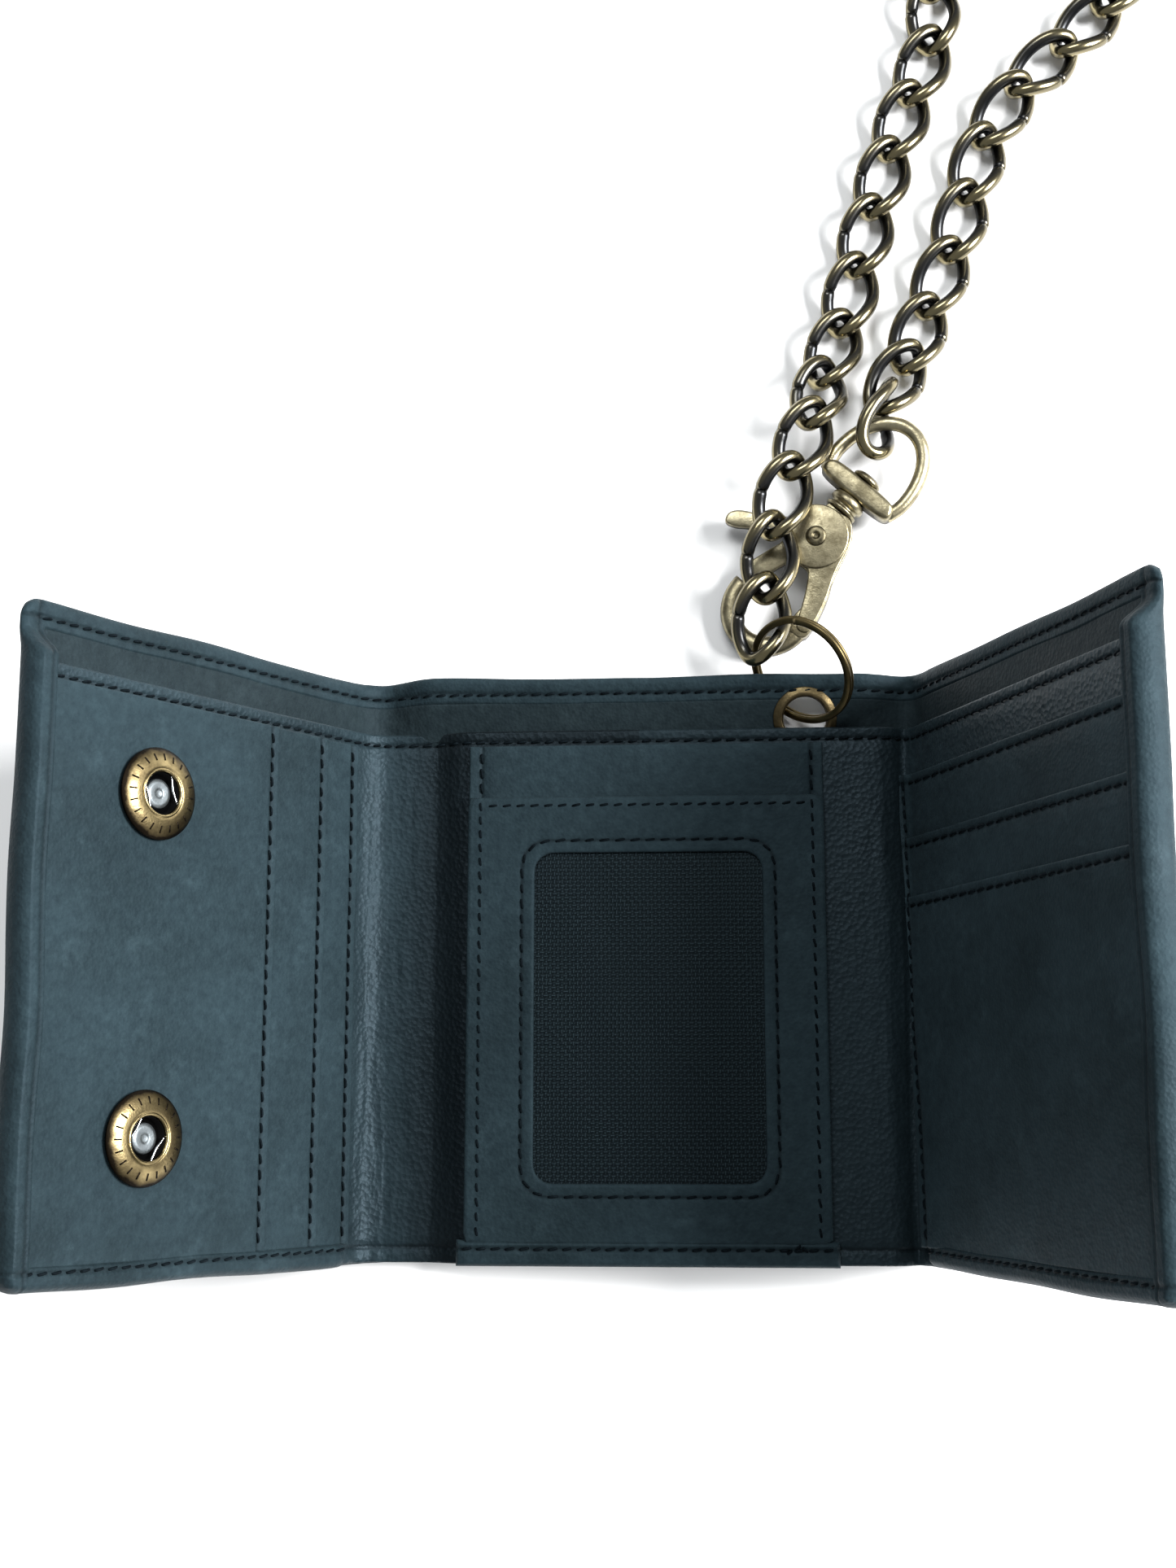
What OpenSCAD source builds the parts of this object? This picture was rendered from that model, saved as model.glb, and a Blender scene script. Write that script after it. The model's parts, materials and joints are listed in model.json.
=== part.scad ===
/* [Wallet] */
// Height of the wallet, along Y
wallet_h = 108; // [104:1:112]
// X of the left fold line, left of the middle
left_fold_x = 46.5; // [46:0.5:48]
// X of the right fold line, right of the middle
right_fold_x = 48; // [47.5:0.5:49]
// Length of the left flap from its fold line
left_flap_l = 75; // [72:1:76]
// Length of the right flap from its fold line
right_flap_l = 76; // [72:1:77]
// How far the left flap stands open at rest, from flat
left_open = 57; // [40:1:80]
// How far the right flap stands open at rest, from flat
right_open = 69; // [40:1:80]

/* [Leather] */
// Thickness of the outer cover
cover_t = 1.2; // [1:0.1:1.3]
// Thickness of the bill pocket's lining
lining_t = 0.5; // [0.4:0.1:0.6]
// Thickness of the bill pocket's inner wall
wall_t = 1.0; // [0.8:0.1:1.1]
// Thickness of one card slot
slot_t = 0.7; // [0.6:0.1:0.8]
// Width of the turned edge along the rims
hem_w = 3; // [2:0.5:4]
// How far the bill pocket's inner wall stops below the cover's back edge
wall_drop = 10; // [9:0.2:11]
// How far the ring lifts the cover's back edge
edge_lift = 4.5; // [4.2:0.1:4.8]

/* [Snaps] */
// Radius of a snap socket's ring
snap_r = 7.4; // [7:0.1:7.6]
// Distance of the snaps from the left fold line
snap_s = 50; // [46:1:52]
// Y of the upper snap
snap_upper_y = 25; // [20:1:30]
// Y of the lower snap
snap_lower_y = -31; // [-36:1:-26]

/* [Chain] */
// Diameter of the link wire
wire_d = 2.5; // [2.2:0.1:2.6]
// Half length of a link, measured on the wire's middle
link_a = 8; // [8:0.05:8.2]
// Half width of a link, measured on the wire's middle
link_b = 4.35; // [4.3:0.05:4.5]
// Twist of a link's ends out of its own plane
link_twist = 45; // [40:1:48]

/* [Clip] */
// Angle of the clip on the table, clockwise from +Y
clip_turn = 42; // [40:1:44]
// Slope of the clip, up towards its swivel
clip_slope = 5; // [4:0.5:6]
// Radius of the swivel loop, measured on its wire's middle
loop_r = 8; // [7.5:0.1:8.2]
// Diameter of the swivel loop's wire
loop_wire_d = 2.5; // [2.2:0.1:2.6]
// Radius of the hook's bow, measured on its middle
hook_r = 7; // [6.5:0.1:7.5]
// Width of the hook's bow
hook_w = 3.8; // [3:0.1:4]

/* [Hidden] */

// Leather layers, bottom to top
half_h = wallet_h / 2;
gap_z = cover_t + lining_t + 0.6;
flap_wall_z = gap_z;
flap_slot_z = flap_wall_z + wall_t;
flap_top_z = flap_slot_z + 3 * slot_t;
centre_wall_z = 4.6;
centre_slot_z = centre_wall_z + wall_t;
mesh_t = 0.3;
frame_t = 0.9;
centre_top_z = centre_slot_z + slot_t + mesh_t + frame_t;
fold_gap = 0.3;
socket_h = 1.8;
cap_h = 1;
stud_flange_t = 0.5;

// Fold axes: each flap closes flat on the stack below it
right_fold_z = (centre_top_z + flap_top_z + fold_gap) / 2;
stack_z = 2 * right_fold_z;
left_fold_z = (stack_z + stud_flange_t + flap_top_z + socket_h + fold_gap) / 2;

// The back edge of the centre panel, lifted by the ring
lift_start_y = 36;
lift_slope = edge_lift / (half_h - lift_start_y);

// Eyelet and split ring
eyelet_x = 31;
eyelet_y = 46.2;
eyelet_bore_r = 4;
eyelet_flange_r = 5.3;
eyelet_z = lift_z(eyelet_y) + cover_t / 2;
ring_r = 10;
ring_wire_w = 1.3;
ring_wire_h = 1.6;
ring_half_chord = 7.8;
ring_turn = 36;
ring_rise = 50;

// Room for the ring at the back edge of the closed right flap
relief_s0 = 6;
relief_s1 = 28;

function lift_z(y) = max(0, (y - lift_start_y) * lift_slope);

// The chain's route: the crossing points between its links, from the split ring to the swivel loop
chain_z = 3;
route = [
    [22, 58.3, 9.5], [24.1, 69.7, 9.5], [25.6, 81.7, 10.2], [29.4, 93.4, 9.8], [33.9, 104.8, 8.3],
    [36, 113.6, 4.6], [40, 124.6, chain_z], [43.2, 136.8, chain_z], [46.6, 149, chain_z],
    [50.4, 161.2, chain_z], [54.8, 173, chain_z], [59.4, 184.6, chain_z], [59.7, 196.4, chain_z],
    [59.1, 207.9, 3.2], [63.5, 218.9, 3.1], [72.4, 226, 3.3], [84.1, 227.8, 3.1], [94.4, 222.8, 3.2],
    [100, 212.6, 3.1], [99.7, 201.1, 3.2], [94.2, 190.9, 3.3], [85.2, 181.9, 3.4], [75.8, 173.3, 3.7],
    [69, 163.4, chain_z], [65.2, 151.4, chain_z], [61.6, 139.4, chain_z], [56.8, 127.8, chain_z],
    [52.2, 116.2, 3.7], [47.7, 108.8, 5], [45.1, 99.1, 7.6]
];
// Roll of each link about its own length
rolls = [
    2, 6, 2, 6, 2, -4, 0, 0, 0, 0, 0, 0, 2, 1, 1,
    0, 0, 0, 0, -2, 0, 0, 0, 0, 0, 0, 2, -4, -66
];
far_loop_first = 12;
far_loop_last = 20;
link_steps = 16;
link_sides = 8;

// Clip, drawn along its own axis: origin at the lever's pin, +Y towards the swivel
clip_pos = [33.8, 80.8, 4.4];
plate_t = 1;
lever_t = 2.2;
plate_gap = 0.2;
clip_h = lever_t + 2 * plate_gap + 2 * plate_t;
disc_r = 6;
pin_r = 1;
hook_x = 2;
hook_y = -16.2;
hook_t = 4;
collar_y = 10.8;
collar_t = 2.6;
collar_half_w = 7.4;
post_r = 1.5;
post_clear = 0.05;
neck_y = 6.7;
neck_l = 3.8;
loop_y = 18.2;
loop_open = 42;

leather = "#20272b";
brass = "#8f7c4a";
gunmetal = "#5a5548";
steel = "#8d9498";

$fn = 48;

// ---------- places ----------
module on_left_flap() {
    translate([-left_fold_x, 0, left_fold_z])
        rotate([0, left_open, 0])
            translate([0, 0, -left_fold_z]) children();
}

module on_right_flap() {
    translate([right_fold_x, 0, right_fold_z])
        rotate([0, -right_open, 0])
            translate([0, 0, -right_fold_z]) children();
}

module on_clip() {
    translate(clip_pos) rotate([0, 0, -clip_turn]) rotate([clip_slope, 0, 0]) children();
}

module at_left_snaps() {
    for (y = [snap_upper_y, snap_lower_y])
        translate([-snap_s, y, 0]) children();
}

// The studs meet the sockets when both flaps are closed
module at_right_studs() {
    for (y = [snap_upper_y, snap_lower_y])
        translate([right_fold_x + left_fold_x - snap_s, y, 0]) children();
}

// A flat sheet between two corners, at a height
module sheet(x0, x1, y0, y1, z, t) {
    translate([x0, y0, z]) cube([x1 - x0, y1 - y0, t]);
}

// A sheet of the centre panel whose back part slopes up with the lifted edge
module lifted_sheet(x0, x1, y0, y1, z, t) {
    translate([x0, 0, 0]) rotate([90, 0, 90]) linear_extrude(x1 - x0)
        polygon([
            [y0, z], [lift_start_y, z], [y1, z + lift_z(y1)],
            [y1, z + t + lift_z(y1)], [lift_start_y, z + t], [y0, z + t]
        ]);
}

// ---------- outer cover, lining and bill pocket ----------
module cover_centre() {
    color(leather) difference() {
        union() {
            lifted_sheet(-left_fold_x, right_fold_x, -half_h, half_h, 0, cover_t);
            sheet(-left_fold_x, right_fold_x, -half_h, -half_h + hem_w,
                cover_t, centre_wall_z - cover_t);
        }
        eyelet_hole(eyelet_bore_r + 0.5);
    }
}

module flap_cover(l) {
    sheet(0, l, -half_h, half_h, 0, cover_t);
    sheet(l - hem_w, l, -half_h, half_h, cover_t, flap_wall_z + wall_t - cover_t);
    sheet(0, l - hem_w, -half_h, -half_h + hem_w, cover_t, flap_wall_z + wall_t - cover_t);
}

module cover_left() {
    color(leather) on_left_flap() mirror([1, 0, 0]) flap_cover(left_flap_l);
}

module cover_right() {
    color(leather) on_right_flap() difference() {
        flap_cover(right_flap_l);
        ring_relief();
    }
}

// Room at the back edge of the right flap for the ring, where soft leather gives way
module ring_relief() {
    sheet(relief_s0, relief_s1, half_h - wall_drop, half_h + 1, -1, cover_t + lining_t + 1.4);
}

// Leather that bends round a fold, from the centre panel to a flap
module fold_strip(axis_z, turn) {
    rotate([90, 0, 0]) rotate([0, 0, -90])
        translate([0, 0, -half_h]) rotate_extrude(angle = turn) {
            translate([axis_z - cover_t, 0]) square([cover_t, wallet_h]);
        }
}

module fold_strip_left() {
    color(leather) translate([-left_fold_x, 0, left_fold_z])
        mirror([1, 0, 0]) fold_strip(left_fold_z, left_open);
}

module fold_strip_right() {
    color(leather) translate([right_fold_x, 0, right_fold_z])
        fold_strip(right_fold_z, right_open);
}

module lining_centre() {
    color("#15191b") difference() {
        lifted_sheet(-left_fold_x, right_fold_x, -half_h + hem_w, half_h - 1, cover_t, lining_t);
        eyelet_hole(eyelet_bore_r + 0.5);
    }
}

module flap_lining(l) {
    sheet(0, l - hem_w, -half_h + hem_w, half_h - 1, cover_t, lining_t);
}

module lining_left() {
    color("#15191b") on_left_flap() mirror([1, 0, 0]) flap_lining(left_flap_l);
}

module lining_right() {
    color("#15191b") on_right_flap() difference() {
        flap_lining(right_flap_l);
        ring_relief();
    }
}

module bill_wall_centre() {
    color(leather)
        sheet(-left_fold_x + 1, right_fold_x - 1, -half_h, half_h - wall_drop, centre_wall_z, wall_t);
}

module flap_wall(l, start) {
    sheet(start, l - hem_w, -half_h + hem_w, half_h - wall_drop, flap_wall_z, wall_t);
}

module bill_wall_left() {
    color(leather) on_left_flap() mirror([1, 0, 0]) flap_wall(left_flap_l, 4);
}

module bill_wall_right() {
    color(leather) on_right_flap() flap_wall(right_flap_l, 2);
}

// ---------- centre panel: card window ----------
panel_x0 = -32;
panel_x1 = 34;
panel_y0 = -half_h + 4;
panel_y1 = 41;
window_x0 = -19.5;
window_x1 = 22.5;
window_y0 = -39.5;
window_y1 = 20.5;
window_round = 3;

module id_pocket() {
    color(leather) sheet(panel_x0, panel_x1, panel_y0, panel_y1, centre_slot_z, slot_t);
}

module id_mesh_window() {
    color("#0c0d0e")
        sheet(window_x0 - 2, window_x1 + 2, window_y0 - 2, window_y1 + 2,
            centre_slot_z + slot_t, mesh_t);
}

module id_window_frame() {
    z = centre_slot_z + slot_t + mesh_t;
    color(leather) difference() {
        sheet(panel_x0, panel_x1, panel_y0, 31, z, frame_t);
        translate([0, 0, z - 1]) linear_extrude(frame_t + 2) union() {
            translate([window_x0 + window_round, window_y0])
                square([window_x1 - window_x0 - 2 * window_round, window_y1 - window_y0]);
            translate([window_x0, window_y0 + window_round])
                square([window_x1 - window_x0, window_y1 - window_y0 - 2 * window_round]);
            for (x = [window_x0 + window_round, window_x1 - window_round],
                 y = [window_y0 + window_round, window_y1 - window_round])
                translate([x, y]) circle(window_round);
        }
    }
}

// ---------- card slots ----------
slot_y0 = -half_h + hem_w + 0.5;
left_slot_y1 = half_h - wall_drop - 3;

module left_slot(step, start) {
    on_left_flap() mirror([1, 0, 0])
        sheet(start, left_flap_l - hem_w, slot_y0, left_slot_y1, flap_slot_z + step * slot_t, slot_t);
}

module left_slot_inner() {
    color(leather) left_slot(0, 1.5);
}

module left_slot_middle() {
    color(leather) left_slot(1, 9.6);
}

module left_snap_panel() {
    color(leather) difference() {
        left_slot(2, 22.4);
        on_left_flap() at_left_snaps()
            translate([0, 0, flap_slot_z + 1.9 * slot_t]) cylinder(h = 2, r = 1.6);
    }
}

module right_slot(step, top) {
    on_right_flap()
        sheet(2, right_flap_l - hem_w, slot_y0, top, flap_slot_z + step * slot_t, slot_t);
}

module right_slot_upper() {
    color(leather) right_slot(0, 35);
}

module right_slot_middle() {
    color(leather) right_slot(1, 23);
}

module right_slot_lower() {
    color(leather) right_slot(2, 12);
}

// ---------- snap fasteners ----------
socket_bore_r = 3.2;
post_head_r = 1.7;
cap_r = 6.2;
stud_r = 2.3;
stud_h = 1.6;

module snap_socket_rings() {
    color(brass) on_left_flap() at_left_snaps() translate([0, 0, flap_top_z])
        rotate_extrude()
            polygon([
                [socket_bore_r, 0], [snap_r, 0], [snap_r, 0.5], [snap_r - 0.9, 1.4],
                [snap_r - 2, socket_h], [socket_bore_r + 0.4, socket_h], [socket_bore_r, 1.4]
            ]);
}

module snap_socket_springs() {
    color(steel) on_left_flap() at_left_snaps()
        for (x = [-2.65, 2.65])
            translate([x, 1.6, flap_top_z + 0.9]) rotate([90, 0, 0]) cylinder(h = 3.2, r = 0.2);
}

module snap_socket_posts() {
    color(steel) on_left_flap() at_left_snaps()
        translate([0, 0, flap_top_z]) cylinder(h = 0.35, r = post_head_r);
}

module snap_caps() {
    color(brass) on_left_flap() at_left_snaps()
        translate([0, 0, -cap_h]) rotate_extrude()
            polygon([[0, 0], [cap_r - 1.2, 0], [cap_r, 0.6], [cap_r, cap_h], [0, cap_h]]);
}

module snap_studs() {
    color(brass) on_right_flap() at_right_studs()
        mirror([0, 0, 1]) rotate_extrude()
            polygon([
                [0, 0], [5.5, 0], [5.5, stud_flange_t - 0.2], [5.2, stud_flange_t],
                [stud_r - 0.4, stud_flange_t], [stud_r, stud_h - 0.4], [stud_r - 0.4, stud_h],
                [0, stud_h]
            ]);
}

module snap_stud_rivets() {
    color(steel) on_right_flap() at_right_studs()
        translate([0, 0, cover_t + lining_t]) cylinder(h = 0.5, r = 3);
}

// ---------- eyelet and split ring ----------
module on_eyelet() {
    translate([eyelet_x, eyelet_y, eyelet_z]) rotate([atan(lift_slope), 0, 0]) children();
}

module eyelet_hole(r) {
    on_eyelet() translate([0, 0, -3]) cylinder(h = 6, r = r);
}

module eyelet() {
    color(brass) on_eyelet() difference() {
        translate([0, 0, -cover_t / 2 - 0.1])
            cylinder(h = cover_t + lining_t + 0.5, r = eyelet_bore_r + 0.45);
        translate([0, 0, -3]) cylinder(h = 6, r = eyelet_bore_r);
    }
}

module eyelet_washer() {
    color(brass) on_eyelet() difference() {
        translate([0, 0, cover_t / 2 + lining_t]) cylinder(h = 0.45, r = eyelet_flange_r);
        translate([0, 0, -3]) cylinder(h = 6, r = eyelet_bore_r + 0.45);
    }
}

// Two flat windings of one wire, laid side by side
module split_ring() {
    chord_slope = atan(lift_slope * cos(ring_turn));
    color("#6d6240") translate([eyelet_x, eyelet_y, eyelet_z])
        rotate([0, 0, 90 + ring_turn]) rotate([0, -chord_slope, 0])
            rotate([180 - ring_rise, 0, 0])
                translate([ring_half_chord, sqrt(ring_r * ring_r - ring_half_chord * ring_half_chord), 0])
                    rotate_extrude($fn = 64) difference() {
                        translate([ring_r - ring_wire_w / 2, -ring_wire_h / 2])
                            square([ring_wire_w, ring_wire_h]);
                        translate([ring_r + ring_wire_w / 2 - 0.2, -0.1]) square([1, 0.2]);
                    }
}

// ---------- chain ----------
function spot(f) =
    let (t = link_twist * cos(f))
    [link_a * cos(f), link_b * sin(f) * cos(t), link_b * sin(f) * sin(t)];
function unit(v) = v / norm(v);
function wire_ring(f) =
    let (
        along = unit(spot(f + 1) - spot(f - 1)),
        t = link_twist * cos(f),
        face = [0, -sin(t), cos(t)],
        side = unit(cross(face, along)),
        up = cross(along, side)
    )
    [for (j = [0 : link_sides - 1])
        let (g = 360 * j / link_sides)
        spot(f) + wire_d / 2 * (side * cos(g) + up * sin(g))];
link_points = [
    for (i = [0 : link_steps - 1]) each wire_ring(360 * i / link_steps)
];
link_faces = [
    for (i = [0 : link_steps - 1], j = [0 : link_sides - 1])
        let (
            n = (i + 1) % link_steps,
            m = (j + 1) % link_sides,
            a = i * link_sides + j,
            b = i * link_sides + m,
            c = n * link_sides + m,
            d = n * link_sides + j
        )
        each [[a, c, b], [a, d, c]]
];

// Link k lies between crossing points k - 1 and k of the route
module link(k) {
    a = route[k - 1];
    b = route[k];
    run = b - a;
    color(gunmetal) translate((a + b) / 2)
        rotate([rolls[k - 1], -asin(run[2] / norm(run)), atan2(run[1], run[0])])
            polyhedron(link_points, link_faces, convexity = 4);
}

module chain_links_far_loop() {
    for (k = [far_loop_first : far_loop_last]) link(k);
}

// ---------- swivel clip ----------
module swivel_loop() {
    color(brass) on_clip() translate([0, loop_y, 0])
        rotate([0, 0, -loop_open]) rotate_extrude(angle = 180 + 2 * loop_open)
            translate([loop_r, 0]) circle(d = loop_wire_d, $fn = 24);
}

module swivel_collar() {
    color(brass) on_clip() difference() {
        translate([-collar_half_w, collar_y, -2.2]) cube([2 * collar_half_w, collar_t, 4.4]);
        translate([0, collar_y - 1, 0]) rotate([-90, 0, 0])
            cylinder(h = collar_t + 2, r = post_r + post_clear);
    }
}

module swivel_post() {
    color(brass) on_clip() {
        translate([0, neck_y, 0]) rotate([-90, 0, 0]) cylinder(h = neck_l, r = 2.6);
        translate([0, neck_y, 0]) rotate([-90, 0, 0]) cylinder(h = neck_l + 4, r = post_r);
        translate([0, collar_y + collar_t + 0.2, 0]) rotate([-90, 0, 0]) cylinder(h = 1.1, r = 2.4);
    }
}

module clip_plate() {
    difference() {
        union() {
            circle(disc_r);
            polygon([[-2, 4], [2.6, 6.4], [6, 0], [9.6, -8], [10.6, -15], [7.4, -15], [4.6, -10], [0, -5]]);
        }
        circle(pin_r + 0.05);
    }
}

module clip_body() {
    color(brass) on_clip() {
        translate([0, 0, -clip_h / 2]) linear_extrude(plate_t) clip_plate();
        translate([0, 0, clip_h / 2 - plate_t]) linear_extrude(plate_t) clip_plate();
        translate([0, 0, -clip_h / 2]) linear_extrude(clip_h)
            polygon([[6.6, -4], [7.7, -4], [9.6, -8], [10.8, -16.6], [7.2, -16.6], [6.9, -10]]);
        translate([hook_x, hook_y, -hook_t / 2]) linear_extrude(hook_t) difference() {
            circle(hook_r + hook_w / 2);
            circle(hook_r - hook_w / 2);
            translate([-2 * hook_r, 0.2]) square([4 * hook_r, 2 * hook_r]);
        }
        translate([0, 0, -clip_h / 2]) linear_extrude(clip_h)
            polygon([[-2.6, 5.9], [-2.6, 6.6], [2.6, 6.6], [2.6, 5.9]]);
    }
}

module clip_lever() {
    color(brass) on_clip() translate([0, 0, -lever_t / 2]) linear_extrude(lever_t) difference() {
        union() {
            circle(3.6);
            polygon([[-3, 2], [-14.6, -5.4], [-15.8, -7.4], [-14, -8.2], [-12.6, -6.8], [-3.4, -2.6]]);
            polygon([[-3.2, -1.6], [-7, -13.2], [-6.3, -14.6], [-3.2, -15.2], [-2.6, -13], [2, -3]]);
        }
        circle(pin_r + 0.05);
    }
}

module lever_pin() {
    color(brass) on_clip() {
        translate([0, 0, -clip_h / 2 - 0.3]) cylinder(h = clip_h + 0.6, r = pin_r);
        translate([0, 0, clip_h / 2]) cylinder(h = 0.4, r = 1.9);
        translate([0, 0, -clip_h / 2 - 0.4]) cylinder(h = 0.4, r = 1.9);
    }
}

module lever_spring() {
    color(steel) on_clip() translate([4.9, 1.2, -0.8]) cylinder(h = 1.6, r = 0.8);
}

cover_centre();
cover_left();
cover_right();
fold_strip_left();
fold_strip_right();
lining_centre();
lining_left();
lining_right();
bill_wall_centre();
bill_wall_left();
bill_wall_right();
id_pocket();
id_mesh_window();
id_window_frame();
left_slot_inner();
left_slot_middle();
left_snap_panel();
right_slot_upper();
right_slot_middle();
right_slot_lower();
snap_socket_rings();
snap_socket_springs();
snap_socket_posts();
snap_caps();
snap_studs();
snap_stud_rivets();
eyelet();
eyelet_washer();
split_ring();
swivel_loop();
swivel_collar();
swivel_post();
clip_body();
clip_lever();
lever_pin();
lever_spring();
link(1);  // chain_link_01
link(2);  // chain_link_02
link(3);  // chain_link_03
link(4);  // chain_link_04
link(5);  // chain_link_05
link(6);  // chain_link_06
link(7);  // chain_link_07
link(8);  // chain_link_08
link(9);  // chain_link_09
link(10);  // chain_link_10
link(11);  // chain_link_11
chain_links_far_loop();
link(21);  // chain_link_21
link(22);  // chain_link_22
link(23);  // chain_link_23
link(24);  // chain_link_24
link(25);  // chain_link_25
link(26);  // chain_link_26
link(27);  // chain_link_27
link(28);  // chain_link_28
link(29);  // chain_link_29
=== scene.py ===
import json
import math

import bmesh
import bpy
from mathutils import Matrix, Vector, noise


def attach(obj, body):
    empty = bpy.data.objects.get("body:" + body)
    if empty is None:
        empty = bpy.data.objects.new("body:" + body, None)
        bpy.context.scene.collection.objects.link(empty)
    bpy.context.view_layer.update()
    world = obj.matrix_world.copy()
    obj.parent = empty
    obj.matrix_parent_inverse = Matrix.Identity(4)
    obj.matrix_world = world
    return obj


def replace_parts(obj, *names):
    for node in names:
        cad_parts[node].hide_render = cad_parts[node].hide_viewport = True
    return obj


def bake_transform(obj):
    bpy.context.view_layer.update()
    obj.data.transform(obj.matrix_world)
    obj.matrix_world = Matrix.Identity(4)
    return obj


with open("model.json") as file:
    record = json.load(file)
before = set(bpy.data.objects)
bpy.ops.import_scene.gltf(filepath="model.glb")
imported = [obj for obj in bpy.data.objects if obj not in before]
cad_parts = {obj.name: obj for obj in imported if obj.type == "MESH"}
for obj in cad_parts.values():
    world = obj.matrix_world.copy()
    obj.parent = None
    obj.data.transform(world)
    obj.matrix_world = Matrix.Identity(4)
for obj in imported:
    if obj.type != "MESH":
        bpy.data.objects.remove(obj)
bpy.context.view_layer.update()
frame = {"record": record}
MM = 0.001

# ---------- sizes, in millimetres, from part.scad ----------
HALF_H = 54.0
LEFT_X, LEFT_Z, LEFT_OPEN, LEFT_L, LEFT_ARC = -46.5, 10.6, math.radians(57), 75.0, 9.0
RIGHT_X, RIGHT_Z, RIGHT_OPEN, RIGHT_L, RIGHT_ARC = 48.0, 6.6, math.radians(69), 76.0, 7.0
WALL_TOP_Y = HALF_H - 10
LIFT_Y, LIFT_SLOPE = 36.0, 0.25
EYELET = (31.0, 46.2)
HEM_TOP = 5.4


def smooth(t):
    t = min(max(t, 0.0), 1.0)
    return t * t * (3 - 2 * t)


def wobble(x, y, z=0.0):
    return noise.noise(Vector((x, y, z)))


def left_u(s):
    return LEFT_X - LEFT_ARC - s


def right_u(s):
    return RIGHT_X + RIGHT_ARC + s


def flap_s(u):
    """Distance from the fold along a flap, below 0 in the fold and on the centre panel."""
    return max(LEFT_X - LEFT_ARC - u, u - RIGHT_X - RIGHT_ARC)


def on_leather(u, y, h):
    """u runs along the leather from the wallet's middle, h is the height above its underside."""
    if LEFT_X <= u <= RIGHT_X:
        return Vector((u, y, h))
    if u < LEFT_X:
        d, opened, x0, z0, side, arc = LEFT_X - u, LEFT_OPEN, LEFT_X, LEFT_Z, -1, LEFT_ARC
    else:
        d, opened, x0, z0, side, arc = u - RIGHT_X, RIGHT_OPEN, RIGHT_X, RIGHT_Z, 1, RIGHT_ARC
    a = opened * min(d / arc, 1.0)
    s = max(d - arc, 0.0)
    r = h - z0
    return Vector((x0 + side * (s * math.cos(a) - r * math.sin(a)), y,
                   z0 + s * math.sin(a) + r * math.cos(a)))


def lift(u, y):
    inside = smooth((min(u - LEFT_X, RIGHT_X - u) + 4) / 12)
    return max(0.0, (y - LIFT_Y) * LIFT_SLOPE) * inside


def wall_h(u):
    inside = smooth((min(u - LEFT_X - 7.5, RIGHT_X - u + 3) / 7))
    return 2.3 + 2.3 * inside


def creases(u, y):
    """Fine wrinkles of the leather where it bends."""
    near = max(0.0, 1 - abs(u - (LEFT_X - 3)) / 14) + max(0.0, 1 - abs(u - (RIGHT_X + 2)) / 13)
    if near <= 0:
        return 0.0
    return near * (0.26 * wobble(u * 0.55, y * 0.05, 1.7) + 0.13 * wobble(u * 1.3, y * 0.12, 7.1))


# ---------- materials ----------
def material(name):
    m = bpy.data.materials.new(name)
    m.use_nodes = True
    m.node_tree.nodes.clear()
    out = m.node_tree.nodes.new("ShaderNodeOutputMaterial")
    bsdf = m.node_tree.nodes.new("ShaderNodeBsdfPrincipled")
    m.node_tree.links.new(bsdf.outputs[0], out.inputs[0])
    return m, m.node_tree.nodes, m.node_tree.links, bsdf


def ramp(nodes, links, source, stops):
    r = nodes.new("ShaderNodeValToRGB")
    while len(r.color_ramp.elements) > 1:
        r.color_ramp.elements.remove(r.color_ramp.elements[-1])
    r.color_ramp.elements[0].position = stops[0][0]
    r.color_ramp.elements[0].color = (*stops[0][1], 1)
    for pos, col in stops[1:]:
        e = r.color_ramp.elements.new(pos)
        e.color = (*col, 1)
    links.new(source, r.inputs[0])
    return r.outputs[0]


def noise_tex(nodes, links, scale, detail=4, rough=0.55, stretch=None):
    c = nodes.new("ShaderNodeTexCoord")
    t = nodes.new("ShaderNodeTexNoise")
    t.inputs["Scale"].default_value = scale
    t.inputs["Detail"].default_value = detail
    t.inputs["Roughness"].default_value = rough
    if stretch:
        mp = nodes.new("ShaderNodeMapping")
        mp.inputs["Scale"].default_value = stretch
        links.new(c.outputs["Object"], mp.inputs[0])
        links.new(mp.outputs[0], t.inputs["Vector"])
    else:
        links.new(c.outputs["Object"], t.inputs["Vector"])
    return t.outputs[0]


def mix(nodes, links, fac, a, b, mode="MIX"):
    m = nodes.new("ShaderNodeMix")
    m.data_type = "RGBA"
    m.blend_type = mode
    for sock, val in ((m.inputs[0], fac), (m.inputs[6], a), (m.inputs[7], b)):
        if isinstance(val, bpy.types.NodeSocket):
            links.new(val, sock)
        elif sock == m.inputs[0]:
            sock.default_value = val
        else:
            sock.default_value = (*val, 1)
    return m.outputs[2]


def bump(nodes, links, height, strength, distance, before=None):
    b = nodes.new("ShaderNodeBump")
    b.inputs["Strength"].default_value = strength
    b.inputs["Distance"].default_value = distance
    links.new(height, b.inputs["Height"])
    if before:
        links.new(before, b.inputs["Normal"])
    return b.outputs[0]


def attribute(nodes, name):
    a = nodes.new("ShaderNodeAttribute")
    a.attribute_name = name
    return a.outputs["Fac"]


def math_node(nodes, links, op, a, b):
    m = nodes.new("ShaderNodeMath")
    m.operation = op
    m.use_clamp = True
    for sock, val in ((m.inputs[0], a), (m.inputs[1], b)):
        if isinstance(val, bpy.types.NodeSocket):
            links.new(val, sock)
        else:
            sock.default_value = val
    return m.outputs[0]


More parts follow.
